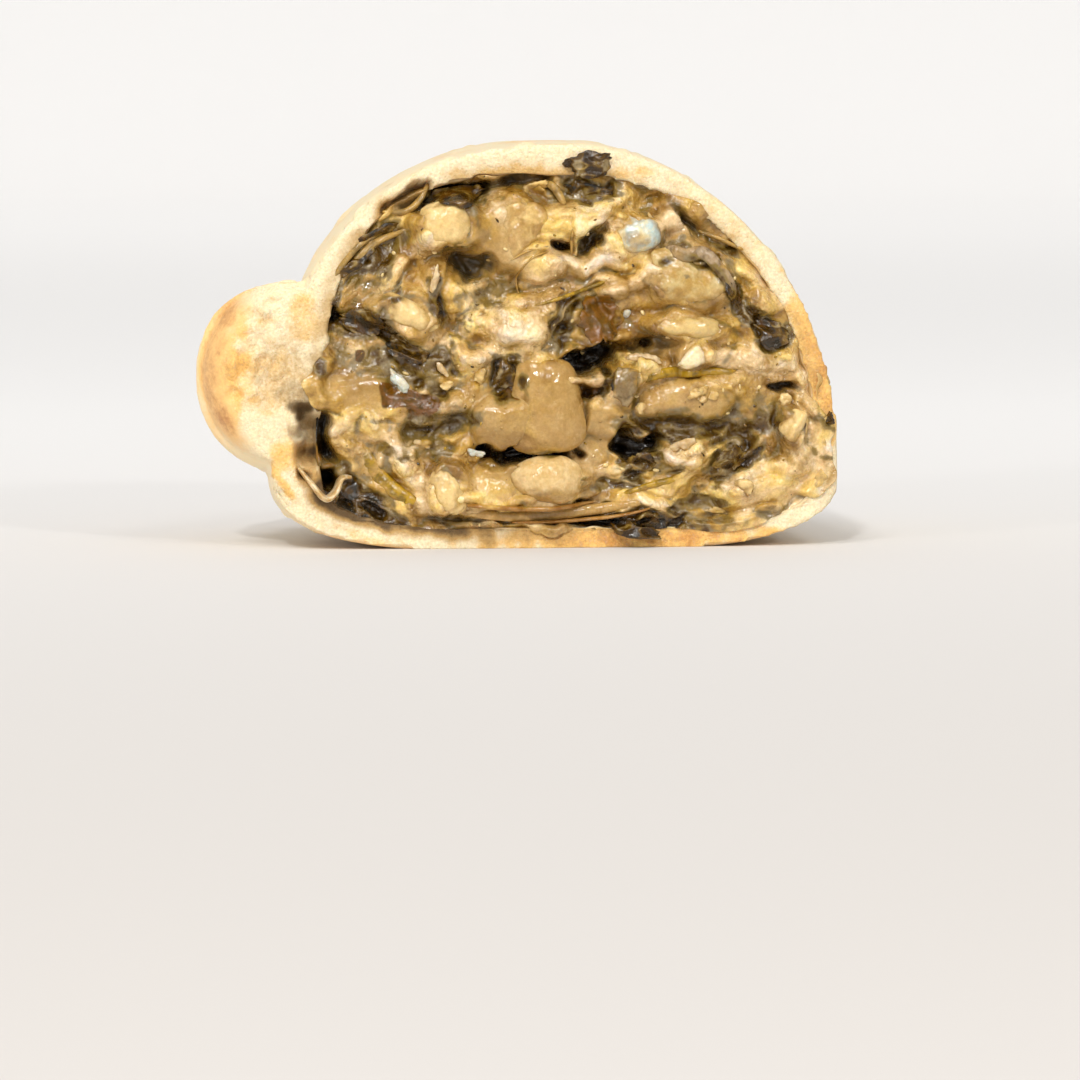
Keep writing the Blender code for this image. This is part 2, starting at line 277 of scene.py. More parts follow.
# Where the sauce is pale and thick. The amount is how pale.
CREAM_PATCHES = rows_of(
    Spot,
    ("upper_left", -12.3, 27.2, 2.3, 2.0, 20, 0.9),
    ("left", -16.5, 14.2, 4.6, 2.6, 0, 0.3),
    ("left_top", -16.6, 19.6, 3.0, 1.6, -20, 0.7),
    ("left_pale", -18.4, 20.8, 2.0, 1.6, 0, 0.5),
    ("left_lumps", -15.8, 12.9, 2.8, 1.4, 0, 0.8),
    ("upper_middle", 2.4, 28.8, 4.6, 3.0, 10, 0.55),
    ("crumbly", -2.1, 22.4, 3.0, 2.6, 0, 1.1),
    ("crumbly_low", -4.4, 18.9, 3.6, 2.8, 0, 1.3),
    ("mid_right", 10.4, 28.4, 5.0, 2.0, 5, 0.5),
    ("oval", 7.5, 32.9, 2.6, 1.2, 45, 0.5),
    ("by_egg", 14.6, 31.6, 2.0, 1.6, -50, 0.9),
    ("egg_round", 11.2, 29.6, 4.0, 2.2, 0, 0.7),
    ("low_right_edge", 27.4, 5.0, 3.4, 2.2, 25, 1.2),
    ("right_wall", 23.6, 26.0, 3.2, 1.6, -60, 0.6),
    ("right_flat", 22.4, 18.5, 4.4, 1.5, 0, 0.85),
    ("right_edge", 29.4, 11.5, 2.2, 8.0, 4, 1.1),
    ("low_right", 24.6, 6.2, 5.4, 3.4, 5, 0.9),
    ("low_left", -8.4, 5.2, 4.0, 2.2, 0, 0.6),
    ("bean_foot", -1.8, 5.8, 3.8, 2.0, 0, 0.9),
    ("bean_low", 3.4, 4.9, 3.8, 0.9, 4, 0.8),
    ("pale_patch", -12.0, 8.6, 2.1, 2.0, 0, 0.7),
    ("low_middle", 10.5, 7.6, 3.4, 1.2, 6, 0.6),
    ("low_curds", 15.9, 9.4, 2.6, 1.6, 0, 0.6),
    ("strip", 14.4, 4.8, 3.9, 0.8, 3, 0.7),
    ("base_right", 25.4, 3.0, 4.0, 1.4, 10, 1.0),
    ("above_petal", -2.6, 18.6, 3.2, 1.6, 0, 1.1),
)

# Where the sauce is thin and greyish over leaves; under the onion sheet, roll and slab, and by the petal's
# foot, the grey is painted shade. The amount is how grey.
GREY_AND_SHADED_PATCHES = rows_of(
    Spot,
    ("under_sheet", -4.0, 27.2, 3.4, 1.8, 0, 1.0),
    ("petal_foot", -8.0, 12.4, 5.0, 2.8, 5, 1.1),
    ("grey_lens", 10.2, 16.4, 1.9, 2.5, 8, 1.2),
    ("petal_ledge", 6.8, 16.6, 2.2, 0.8, -4, 0.7),
    ("under_roll", 13.0, 20.0, 3.4, 1.2, 0, 0.6),
    ("low_mid", 8.0, 10.4, 3.4, 1.6, 0, 0.6),
    ("low_left_wall", -15.0, 8.4, 4.6, 2.0, -42, 0.45),
    ("above_petal", 0.5, 20.0, 3.4, 1.0, 5, 0.6),
    ("right_low", 17.0, 12.4, 6.0, 1.6, 0, 1.0),
    ("bottom_right", 19.0, 2.8, 5.0, 1.2, 0, 0.7),
    ("slab", 17.0, 12.8, 5.0, 1.3, 0, 0.8),
    ("right_top", 21.0, 28.6, 3.0, 2.0, -40, 0.5),
    ("right_middle", 25.0, 13.6, 2.6, 2.0, 0, 0.9),
    ("below_bean", -2.0, 9.0, 3.4, 1.0, 0, 0.6),
    ("middle_left", -3.4, 25.0, 3.0, 1.8, 0, 1.1),
    ("slab_right", 21.0, 14.0, 2.0, 1.6, 0, 0.6),
    ("left_top", -16.0, 26.6, 4.0, 1.6, 40, 0.7),
    ("low_left", -10.0, 9.6, 3.2, 1.4, 0, 0.5),
)

# Where sauce spills over the edge of the dough. The amount is how far.
SPILLS = rows_of(
    Spot,
    ("crimp_wall", -19.7, 16.3, 1.6, 3.4, 0, 1.5),
    ("fold_low", 29.6, 9.5, 2.0, 6.5, 0, 1.7),
    ("fold_middle", 30.0, 17.5, 1.5, 3.0, 0, 0.8),
    ("base_right", 22.0, 2.0, 6.0, 1.5, 0, 0.9),
    ("base_middle", 3.0, 2.0, 3.0, 1.0, 0, 0.6),
    ("top_right", 17.0, 34.0, 4.0, 3.0, 0, 0.6),
)

# Where the sauce is smooth. The amount is how smooth.
CALM_PATCHES = rows_of(
    Spot,
    ("left", -14.6, 15.6, 5.6, 2.8, 5, 1.1),
    ("left_low", -12.5, 11.0, 4.0, 1.6, -8, 0.6),
    ("centre_tan", 9.4, 12.2, 2.6, 2.6, 0, 0.9),
    ("beside_sheet", -2.0, 30.0, 4.0, 3.4, 0, 0.8),
    ("slab", 16.8, 14.2, 5.6, 2.4, 0, 1.0),
    ("low_right", 25.0, 5.8, 4.4, 2.4, 12, 0.6),
    ("bean", 1.0, 7.0, 7.5, 3.0, 0, 1.0),
    ("petal", 0.0, 12.6, 7.0, 4.8, 0, 1.0),
    ("petal_slope", 7.6, 11.2, 3.4, 4.0, 0, 1.0),
    ("grey_lens", 10.2, 16.4, 1.8, 2.4, 8, 0.9),
    ("herb_curd", 17.5, 24.5, 5.5, 4.5, 0, 0.5),
    ("under_sheet", -5.0, 27.4, 3.0, 1.2, 0, 0.6),
    ("roll_under", 15.5, 19.6, 3.4, 1.0, 0, 0.9),
    ("right_smooth", 21.5, 18.6, 3.0, 1.0, 0, 0.6),
)

# Where the sauce is full of small grains of curd. The amount is how many.
GRAINY_PATCHES = rows_of(
    Spot,
    ("crumbly", -1.6, 22.6, 4.0, 3.4, 0, 1.0),
    ("crumbly_low", -4.4, 18.9, 4.2, 3.6, 0, 1.0),
    ("lower_left", -14.5, 7.4, 6.6, 4.2, -40, 0.9),
    ("bottom_left", -15.6, 4.2, 6.4, 2.4, -33, 1.0),
    ("low_left", -9.6, 9.6, 3.6, 2.0, 0, 0.7),
    ("left_top", -17.0, 20.0, 3.4, 2.4, 0, 0.8),
    ("crust_right", 17.5, 32.0, 7.0, 1.6, -42, 0.9),
    ("right_wall", 27.0, 24.0, 4.0, 1.6, -60, 0.7),
    ("egg_round", 9.0, 29.2, 4.6, 2.4, 0, 0.7),
    ("low_right", 21.0, 9.4, 5.0, 3.4, 0, 0.8),
    ("right_edge", 28.4, 12.0, 2.6, 6.0, 0, 0.7),
    ("bottom", 8.0, 2.8, 20.0, 1.2, 0, 0.8),
)

# Ways in which the sauce runs. The amount is how long its waves are for their width.
FLOWS = rows_of(
    Spot,
    ("level", 4.0, 14.0, 300.0, 300.0, 4, 1.7),
    ("upper_left", -14.0, 28.0, 9.0, 5.0, 38, 2.8),
    ("left", -13.0, 19.5, 6.0, 3.6, -30, 2.0),
    ("lower_left", -14.0, 7.0, 7.0, 4.5, -42, 1.8),
    ("top", -4.0, 30.0, 4.0, 4.0, -62, 1.6),
    ("upper_right", 20.0, 27.0, 7.0, 4.5, -48, 2.2),
    ("right", 27.5, 13.0, 8.0, 3.5, 85, 1.6),
)

# Leaves just under the sauce, folded along their length. The amount is how much leaf shows.
FOLDED_LEAVES = rows_of(
    Spot,
    ("upper_left", -15.2, 29.2, 6.4, 2.1, 38, 0.75),
    ("crimp_wall", -18.7, 24.6, 3.2, 1.2, 85, 0.85),
    ("under_crust", -6.0, 34.6, 3.4, 1.3, 8, 0.8),
    ("left", -15.4, 22.0, 3.4, 1.7, -14, 0.9),
    ("left_mass", -10.6, 19.0, 4.4, 2.1, -24, 0.9),
    ("left_mass_foot", -12.8, 17.4, 3.0, 1.1, -10, 0.6),
    ("left_mass_low", -9.2, 16.4, 2.6, 1.1, -40, 0.75),
    ("strand", -8.0, 24.4, 2.4, 0.9, 100),
    ("petal_top", -1.4, 17.0, 1.9, 2.2, 0),
    ("right_grey", 23.0, 22.6, 2.0, 1.6, -20, 0.8),
    ("right_wall", 25.0, 21.3, 2.3, 1.6, -20),
    ("low_right", 21.4, 8.9, 3.3, 1.7, 22),
    ("herbs", 21.8, 12.2, 2.2, 1.3, 0, 0.8),
    ("bottom_left", -15.8, 4.2, 5.6, 2.1, -33, 1.15),
    ("bottom", 11.4, 2.6, 6.8, 1.6, -3, 1.3),
    ("hole", 11.5, 8.5, 2.2, 1.3, 0),
    ("under_rim_leaf", 6.9, 35.4, 3.4, 1.0, -5, 0.9),
    ("right_streak", 20.9, 25.4, 3.2, 1.1, -60, 0.8),
    ("above_curd", 17.4, 29.2, 3.6, 0.8, -20, 0.7),
    ("middle", 4.4, 23.2, 3.0, 1.3, 50),
    ("middle_low", 4.0, 20.8, 2.8, 1.1, 10, 0.8),
    ("left_bits", -20.0, 17.9, 1.0, 0.7, 80),
    ("grey_lump", 8.7, 16.3, 2.3, 0.5, 85, 0.9),
    ("petal_foot", -7.9, 12.6, 4.6, 1.4, 5, 0.75),
    ("upper_middle", -1.8, 26.2, 1.8, 0.7, -20, 0.6),
    ("slab_left", 11.6, 12.2, 2.2, 1.3, 0, 0.9),
    ("low_centre", 10.0, 6.0, 3.0, 0.9, 5, 0.8),
    ("low_centre_right", 14.6, 7.8, 2.0, 0.7, 20, 0.7),
    ("centre_dark", -4.8, 22.4, 1.6, 0.8, -40, 0.6),
    ("left_dark", -13.0, 20.6, 3.0, 1.0, -24, 0.8),
    ("low_left_b", -13.4, 9.6, 1.6, 0.8, -30, 0.6),
    ("right_low", 17.4, 4.4, 3.4, 0.8, -4, 0.6),
    ("right_bits", 20.8, 29.3, 1.6, 0.6, -35, 0.8),
    ("crust_right", 16.6, 32.0, 2.2, 0.6, -45, 0.7),
    ("low_left", -9.2, 9.6, 3.0, 1.0, 10, 0.6),
    ("bottom_middle", -3.0, 2.4, 4.0, 0.5, -2, 0.5),
    # Painted shade: dark leaf colour in the shadow under the onion slab.
    ("slab_shade", 16.0, 11.6, 5.8, 1.4, -4, 0.9),
    ("valley", 6.8, 30.0, 1.4, 0.8, 40, 0.8),
    ("valley_left", 3.8, 29.8, 1.4, 0.5, 5, 0.7),
    ("under_wedge", -13.0, 25.2, 1.8, 0.5, 8, 0.6),
    ("right_pit", 24.6, 12.6, 2.2, 1.4, 10, 0.75),
    ("white_bits", -5.2, 24.8, 2.2, 1.2, -50, 0.5),
)

# Brown, clear, wet leaf.
AMBER_PATCHES = rows_of(
    Spot,
    ("left", -11.2, 14.8, 3.2, 1.2, -14, 1.1),
    ("middle", 8.7, 22.7, 2.4, 1.3, -40),
    ("beside_petal", 6.8, 15.2, 1.7, 0.9, -4, 1.1),
    ("left_small", -16.0, 19.6, 0.6, 0.9, 0),
    ("petal_top", -0.5, 16.2, 1.3, 1.3, 0, 0.9),
    ("base", 0.0, 3.4, 6.0, 0.6, -2, 0.6),
)

# Crumpled leaves that stand out of the sauce. The amount is how far.
LEAF_SHEETS = rows_of(
    Spot,
    ("fold_a", -16.2, 28.6, 3.0, 0.7, 38, 0.3),
    ("fold_b", -13.8, 31.2, 2.6, 0.6, 26, 0.3),
    ("under_crust", -6.2, 34.8, 2.6, 0.9, 8, 0.5),
    ("left", -15.6, 22.4, 2.2, 1.2, -10, 0.4),
    ("left_mass", -11.2, 19.6, 2.3, 1.1, -25, 0.4),
    ("petal_top", -1.5, 17.3, 1.5, 1.0, 60, 1.2),
    ("black_right", 25.0, 21.2, 1.9, 1.3, -20, 0.7),
    ("low_right", 20.8, 8.6, 1.9, 1.2, 25, 0.8),
    ("bottom", 11.4, 1.7, 2.4, 0.7, -12, 0.5),
    ("brown_rim", 6.8, 35.4, 2.7, 0.8, -5, 0.5),
    ("right_streak", 20.9, 25.6, 2.2, 0.6, -62, 0.4),
    ("in_hole", 11.7, 8.5, 1.5, 0.9, -10, 0.4),
    ("right_edge", 30.7, 12.9, 0.9, 0.7, 20, 1.2),
)

# Torn flaps and flakes of dough on the filling. The amount is how far they stand out.
DOUGH_FLAPS = rows_of(
    Spot,
    ("edge_low", 30.2, 6.2, 1.7, 1.0, 62, 0.5),
    ("edge_middle", 30.6, 10.0, 1.6, 0.8, 86, 0.5),
    ("edge_top", 30.2, 16.0, 1.8, 0.7, 95, 0.5),
    ("under_crust", 1.6, 35.6, 1.3, 0.6, 10, 0.5),
)

# Small curds that stand out of the sauce. The amount is how square they are.
LOOSE_CURDS = rows_of(
    Spot,
    ("slab_crumb_a", 17.2, 15.3, 0.9, 0.6, 10, 2.2),
    ("slab_crumb_c", 18.0, 15.6, 0.6, 0.5, 40, 2.2),
    ("slab_crumb_b", 18.9, 15.1, 0.7, 0.5, 0, 2.2),
    ("slab_crumb_d", 17.9, 14.7, 0.6, 0.4, 0, 2.2),
    ("small_curd", 12.0, 13.8, 0.8, 0.7, 30, 2.2),
    ("right_small", 26.5, 14.4, 0.9, 0.8, 0, 2.2),
    ("low_yellow", 22.3, 6.0, 1.1, 0.9, -30, 2.8),
    ("pale_a", -4.0, 17.3, 0.7, 1.0, 10, 2.4),
    ("step_b", -7.4, 16.2, 0.8, 0.5, 0, 2.2),
)

# Thin pale pieces of onion that lie on the sauce. The amount is how square they are.
ONION_SLIVERS = rows_of(
    Spot,
    ("top_left", -6.4, 33.0, 1.4, 0.32, -48, 2.4),
    ("top", 0.4, 33.9, 1.3, 0.28, -50, 2.4),
    ("upper_left", -8.6, 26.6, 1.5, 0.45, 74, 2.4),
    ("ledge", 12.2, 18.8, 1.8, 0.5, -8, 2.4),
    ("low_right", 16.2, 10.2, 1.5, 0.6, 20, 2.4),
    ("bottom_right", 19.6, 3.6, 1.6, 0.4, -6, 2.4),
    ("low_left", -9.6, 10.4, 0.9, 0.35, -20, 2.4),
    ("left_mass", -7.8, 17.9, 1.0, 0.4, -50, 2.4),
)

# A clear grey piece of onion beside the onion petal.
GREY_LENS = rows_of(Spot, ("grey_lens", 10.2, 16.3, 1.45, 2.1, -12, 1.9))

# Chips of egg white. The amount is how square they are.
EGG_CHIPS = rows_of(
    Spot,
    ("shard", -12.0, 16.6, 1.5, 0.6, -58, 2.2),
    ("step", -4.6, 9.5, 1.1, 0.5, -14, 2.6),
    ("by_leaf", 10.6, 23.4, 0.5, 0.8, 0, 3.0),
)

# Small curds and soft lumps under the sauce. The amount is how square they are.
SMALL_CURDS = rows_of(
    Spot,
    ("oval", 7.2, 32.8, 2.5, 1.1, 50, 2.2),
    ("yellow_lump", 1.8, 27.5, 2.2, 1.5, 0, 2.4),
    ("cream_left", -12.5, 27.7, 2.0, 1.6, 30, 2.6),
    ("yellow_left", -13.4, 26.2, 1.2, 0.8, 0, 2.4),
    ("tan_fall", -9.5, 30.4, 1.2, 1.0, -10, 2.6),
    ("crumbly_a", -2.4, 22.9, 1.6, 1.2, 20, 2.8),
    ("crumbly_b", -0.7, 24.0, 1.2, 1.0, 0, 2.8),
    ("crumbly_c", -3.7, 21.6, 1.2, 0.9, 0, 2.8),
    ("crumbly_d", -1.9, 20.8, 1.3, 0.9, 10, 2.8),
    ("crumbly_e", -4.9, 19.4, 1.4, 1.0, 0, 2.8),
    ("crumbly_f", -6.4, 19.3, 1.3, 0.9, 0, 2.6),
    ("right_cream_a", 20.0, 18.9, 1.8, 0.9, 0, 2.8),
    ("right_cream_b", 23.0, 18.6, 1.6, 1.0, 5, 2.8),
    ("right_cream_c", 26.8, 18.4, 1.6, 0.9, 0, 2.6),
    ("left_of_void", 11.0, 19.0, 1.8, 0.7, -6, 2.6),
    ("edge_curd_a", 28.6, 16.6, 1.2, 0.9, 0, 2.4),
    ("edge_curd_b", 28.9, 9.2, 1.1, 1.2, 0, 2.4),
    ("edge_curd_c", 27.7, 7.7, 1.2, 0.9, 10, 2.4),
    ("low_a", 20.6, 5.3, 2.0, 1.4, 10, 2.4),
    ("low_b", 14.6, 6.4, 2.8, 0.9, 12, 2.4),
    ("left_lump_a", -17.3, 13.4, 1.4, 0.9, 0, 2.4),
    ("left_lump_b", -14.8, 12.7, 1.3, 0.9, 0, 2.4),
    ("left_lump_c", -18.5, 12.2, 0.9, 1.2, 0, 2.4),
    ("patch_a", -12.8, 9.5, 1.2, 0.8, 0, 2.6),
    ("patch_b", -11.8, 7.7, 1.4, 0.8, -30, 2.6),
    ("hole_curd_a", 14.7, 9.2, 1.4, 0.9, 20, 2.6),
    ("hole_curd_b", 16.9, 10.0, 1.0, 0.8, 0, 2.6),
    ("top_right", 15.0, 32.0, 1.3, 1.1, -50, 2.4),
    ("right_side_a", 22.8, 27.0, 1.4, 0.9, -55, 2.4),
    ("right_side_b", 24.9, 24.2, 1.3, 1.0, -60, 2.4),
    ("mid_cream", 8.0, 28.0, 2.0, 0.8, 10, 2.4),
    ("mid_cream_b", 11.4, 26.9, 1.2, 0.9, 30, 2.4),
    ("bean_crumb", -6.4, 4.9, 1.0, 0.8, 0, 2.4),
)

# Where sauce lies on the large pieces; on their lower and left sides it is partly painted shade. The amount
# is how thick.
SAUCE_AND_SHADE_ON_PIECES = rows_of(
    Spot,
    ("petal_left", -0.6, 12.2, 2.0, 4.4, 0, 1.0),
    ("petal_foot", 1.4, 9.8, 4.2, 0.9, 0, 0.8),
    ("egg_low", 10.2, 29.2, 1.7, 0.7, -14, 0.8),
    ("egg_left", 9.2, 31.0, 0.6, 1.4, 0, 0.6),
    ("egg_middle", 11.4, 30.9, 1.0, 0.7, -20, 0.75),
    ("bean_base", 2.6, 5.0, 3.6, 0.9, 4, 0.9),
    ("egg_top", 12.6, 33.2, 1.8, 0.7, 0, 0.7),
    ("sheet_low", -2.6, 28.8, 2.4, 1.2, 0, 0.8),
    ("tan_low", -6.4, 30.0, 2.6, 0.8, -10, 0.7),
    ("wedge_top", -12.6, 24.9, 1.6, 0.6, 10, 0.9),
    ("herb_low", 17.4, 24.2, 4.0, 0.9, 0, 0.7),
    ("bean_left", -2.7, 5.9, 2.1, 2.4, 0, 0.95),
    ("bean_right", 6.6, 5.4, 1.0, 1.2, 0, 0.7),
    ("roll_left", 13.1, 21.5, 1.2, 0.8, 0, 0.7),
    ("rim_low", 26.4, 10.9, 1.2, 0.9, 0, 0.6),
)

# Dark leaf on the large pieces; along the lower edges of the tan curd and the onion petal it is painted
# shade. The amount is how dark.
DARK_LEAF_AND_SHADE_MARKS = rows_of(
    Spot,
    ("herb_a", 14.3, 28.4, 1.0, 0.6, 10, 0.9),
    ("herb_b", 17.2, 28.3, 1.6, 0.7, -25, 0.9),
    ("herb_c", 19.6, 27.0, 1.5, 0.5, -55, 0.8),
    ("herb_d", 21.1, 24.9, 1.2, 0.5, -60, 0.8),
    ("herb_e", 16.2, 26.9, 0.5, 0.4, 0, 0.5),
    ("tan_foot", -5.8, 29.9, 2.0, 0.5, -10, 0.6),
    ("tan_top", -5.0, 33.9, 1.2, 0.6, -30, 0.8),
    ("wedge_notch", -12.9, 24.6, 1.0, 0.35, 12, 0.9),
    ("petal_top", 0.1, 16.6, 0.6, 1.5, 10, 0.8),
    ("petal_foot", 2.0, 9.4, 3.4, 0.3, 0, 0.5),
    ("lens_left", 8.7, 16.0, 0.5, 2.2, -10, 1.2),
    ("lens_right", 11.8, 16.6, 0.35, 1.8, -10, 0.7),
)

# The large pieces that the solid model has too, with their half sizes and turns as seen on the cut face.
LargePiece = namedtuple("LargePiece", "node name kind half_long half_wide turn look")
LOOK_FIELDS = "square planes wobble wobble_size crack pinch point crown"
Look = namedtuple("Look", LOOK_FIELDS, defaults=(0.0,) * 4)
LARGE_PIECES = rows_of(
    LargePiece,
    ("onion_petal", "onion_tongue", "onion", 3.9, 5.0, 3, Look(4.6, 0, 0.07, 5.0, pinch=0.18, crown=0.6)),
    ("onion_roll", "onion_roll_up", "roll", 4.1, 1.2, -3, Look(2.5, 3, 0.10, 3.4, crown=0.3)),
    ("onion_sheet", "onion_layer", "slab", 3.5, 3.2, 25, Look(2.8, 5, 0.12, 3.0)),
    ("cheese_bean", "bean_curd", "pale", 4.4, 2.5, -4, Look(2.0, 0, 0.06, 3.4, point=-0.2, crown=0.4)),
    ("herb_curd", "herb_curd_block", "herb", 4.5, 3.0, -8, Look(2.7, 4, 0.16, 2.0, 0.08)),
    ("tan_curd", "tan_curd_lump", "cheese", 3.2, 2.5, -12, Look(2.3, 3, 0.12, 2.6)),
    ("wedge_curd", "wedge", "cheese", 3.5, 1.5, -20, Look(1.9, 2, 0.10, 2.6, point=0.1)),
    ("rim_curd", "rim_lump", "cheese", 1.6, 1.8, 0, Look(2.3, 5, 0.16, 1.6)),
    ("corner_curd", "corner_lump", "cheese", 2.2, 2.6, 10, Look(2.7, 6, 0.16, 1.6, 0.05)),
    ("white_curd", "white_wedge", "white", 2.1, 1.3, 36, Look(3.2, 4, 0.10, 1.6, point=-0.5)),
    ("egg_cube", "egg_block", "egg", 2.6, 2.1, 12, Look(3.8, 3, 0.06, 2.6, crown=0.5)),
)

# The share of its height that the sauce climbs on a kind of piece that stands clear of it.
CLEAR = {"pale": 0.6, "onion": 0.7, "egg": 0.72}

# Strands on the cut face, in the sauce at both ends: stems, onion skins, a leaf ridge, a curl of dough and
# sauce film. The lift is how far they stand out, and the route goes through points of X and Z.
Strand = namedtuple("Strand", "name kind half_wide half_deep lift route")
STRANDS = rows_of(
    Strand,
    ("olive", "stem", 0.8, 0.35, 0.15, ((-15.6, 10.3), (-14.3, 7.7), (-12.3, 5.7), (-10.2, 4.5))),
    ("slab", "stem", 0.52, 0.35, 0.3, ((12.1, 16.5), (14.1, 17.3), (17.9, 17.4), (21.9, 17.3))),
    ("long", "stem", 0.2, 0.25, 0.2, ((0.7, 23.8), (4.0, 24.8), (8.0, 26.2), (11.9, 28.3))),
    ("base", "stem", 0.36, 0.3, 0.15, ((10.0, 5.3), (13.4, 6.3), (17.2, 7.0))),
    ("base_layer_a", "skin", 0.28, 0.5, 0.5, ((-6.9, 4.6), (-1.9, 4.1), (3.0, 4.0), (8.1, 4.6))),
    ("base_layer_b", "skin_pale", 0.6, 0.35, 0.1, ((-6.6, 3.8), (0.0, 3.2), (7.0, 3.7), (12.4, 4.6))),
    ("base_layer_c", "skin", 0.2, 0.5, 0.3, ((-1.0, 2.6), (4.0, 2.6), (9.0, 3.1), (13.0, 4.0))),
    ("wall_band_a", "film", 0.4, 0.35, 0.05, ((-18.0, 25.4), (-16.6, 28.0), (-14.2, 30.2), (-11.0, 31.5))),
    ("wall_band_b", "film", 0.3, 0.35, 0.05, ((-19.2, 24.6), (-18.0, 27.4), (-15.6, 30.2), (-12.4, 32.2))),
    ("pocket", "film", 0.35, 0.4, 0.2, ((-13.6, 33.2), (-11.2, 33.3), (-9.8, 34.4), (-8.9, 36.0))),
    (
        "herb", "ridge", 0.7, 0.45, 0.25,
        ((12.9, 27.6), (14.6, 29.3), (16.2, 28.9), (18.2, 29.0), (20.4, 26.4), (21.2, 24.4)),
    ),
    (
        "curl", "dough", 0.33, 2.1, 0.6,
        ((-22.0, 8.2), (-20.7, 6.6), (-19.4, 5.1), (-18.3, 5.7), (-17.6, 7.0), (-16.5, 7.1)),
    ),
    ("right", "film", 0.25, 0.4, 0.3, ((17.9, 31.3), (20.0, 30.5), (22.5, 29.3))),
    ("sheet_line", "film", 0.15, 0.3, 0.2, ((-1.6, 28.2), (1.0, 29.5), (3.7, 29.4))),
    ("lump_line", "film", 0.13, 0.3, 0.3, ((0.1, 24.4), (-0.3, 26.8), (1.0, 28.7), (3.6, 29.6))),
    ("hanging", "film", 0.16, 0.3, 0.6, ((5.0, 31.8), (4.9, 30.5), (5.2, 28.7))),
    ("curd_string", "film", 0.45, 0.5, 0.5, ((2.6, 36.2), (3.6, 35.4), (4.4, 33.8))),
)

# Name and slot of the piece that the strands of a kind make.
STRAND_PIECES = {
    "stem": ("leaf_stems", "leaf"),
    "skin": ("onion_skins", "onion"),
    "skin_pale": ("onion_bands", "onion"),
    "ridge": ("leaf_ridges", "leaf"),
    "dough": ("dough_curl", "dough"),
    "film": ("sauce_strings", "filling"),
}


def length_property(label, text, value, **limits):
    """A length that a user may change."""
    return FloatProperty(name=label, description=text, default=value, unit="LENGTH", **limits)


def colour_property(label, value):
    """A colour that a user may change."""
    text = f"Colour of the {label.lower()}"
    return FloatVectorProperty(name=label, description=text, default=value, subtype="COLOR", min=0, max=1)


class EmpanadaSizes(bpy.types.PropertyGroup):
    """Sizes of the finish that a user may change."""

    voxel: length_property("Dough Mesh Size", "Edge length of the dough's mesh", 0.48 * MM, min=0.3 * MM)
    undulation: length_property("Skin Undulation", "Height of the slow waves in the baked skin", 0.3 * MM)
    leaf_thickness: length_property("Leaf Thickness", "Thickness of a cooked leaf", 0.12 * MM)
    crumb_count: IntProperty(name="Crumbs", description="Number of small cheese crumbs", default=45)
    speck_count: IntProperty(name="Herb Specks", description="Number of small leaf specks", default=170)
    camera_distance: length_property("Camera Distance", "From the camera to the cut face", 0.6)
    frame_width: length_property("Frame Width", "Width of the picture at the cut face", 106.8 * MM)


class EmpanadaColours(bpy.types.PropertyGroup):
    """Colours of the finish that a user may change."""

    crumb: colour_property("Cut Dough", (0.93, 0.79, 0.53))
    crumb_warm: colour_property("Golden Cut Dough", (0.93, 0.57, 0.18))
    crumb_damp: colour_property("Damp Cut Dough", (0.54, 0.34, 0.12))
    smear: colour_property("Smear On Dough", (0.16, 0.10, 0.04))
    skin_pale: colour_property("Pale Skin", (0.90, 0.75, 0.48))
    skin_golden: colour_property("Golden Skin", (0.90, 0.55, 0.21))
    skin_brown: colour_property("Browned Skin", (0.50, 0.20, 0.055))
    cream: colour_property("Thick Sauce", (0.80, 0.575, 0.24))
    tan: colour_property("Sauce", (0.49, 0.30, 0.078))
    thin: colour_property("Thin Sauce", (0.24, 0.122, 0.017))
    grey: colour_property("Sauce Over Leaves", (0.22, 0.14, 0.038))
    leaf: colour_property("Cooked Leaf", (0.030, 0.013, 0.0))
    leaf_brown: colour_property("Brown Leaf", (0.095, 0.045, 0.002))
    leaf_film: colour_property("Sauce Film On Leaf", (0.235, 0.15, 0.03))
    amber: colour_property("Clear Brown Leaf", (0.17, 0.062, 0.004))
    onion: colour_property("Onion", (0.46, 0.27, 0.078))
    curd: colour_property("Curd", (0.82, 0.60, 0.27))
    egg: colour_property("Egg Cube", (0.50, 0.62, 0.60))
    stem: colour_property("Stem", (0.46, 0.27, 0.012))
    # The floor near the camera is painted darker and the far floor paler: a painted falloff of light.
    floor: colour_property("Floor", (0.60, 0.57, 0.54))
    backdrop: colour_property("Backdrop", (0.95, 0.94, 0.93))


def sizes():
    return bpy.context.scene.empanada_sizes


def colours():
    return bpy.context.scene.empanada_colours


# ---- Numbers ----


def smoothstep(low, high, value):
    share = np.clip((value - low) / (high - low), 0.0, 1.0)
    return share * share * (3 - 2 * share)


def ripple(spots, size, seed):
    """Smooth noise, about -1 to 1, with waves of a size. Spots are an (n, 3) array in millimetres."""
    steps = spots / size + seed * np.array((7.13, 3.77, 5.21))
    return np.array([noise.noise(step) for step in steps.tolist()])


def frays_at(spots, slow=1.9):
    """Slow and quick noise at points, which frays the edges of spots."""
    return ripple(spots, slow, 18), ripple(spots, 0.7, 19)


def circle_spots(angle):
    return np.stack((np.cos(angle), np.sin(angle), angle * 0), axis=1)


def turned(right, up, degrees):
    """Places to the right and up, turned round 0."""
    turn = math.radians(degrees)
    return right * math.cos(turn) - up * math.sin(turn), right * math.sin(turn) + up * math.cos(turn)


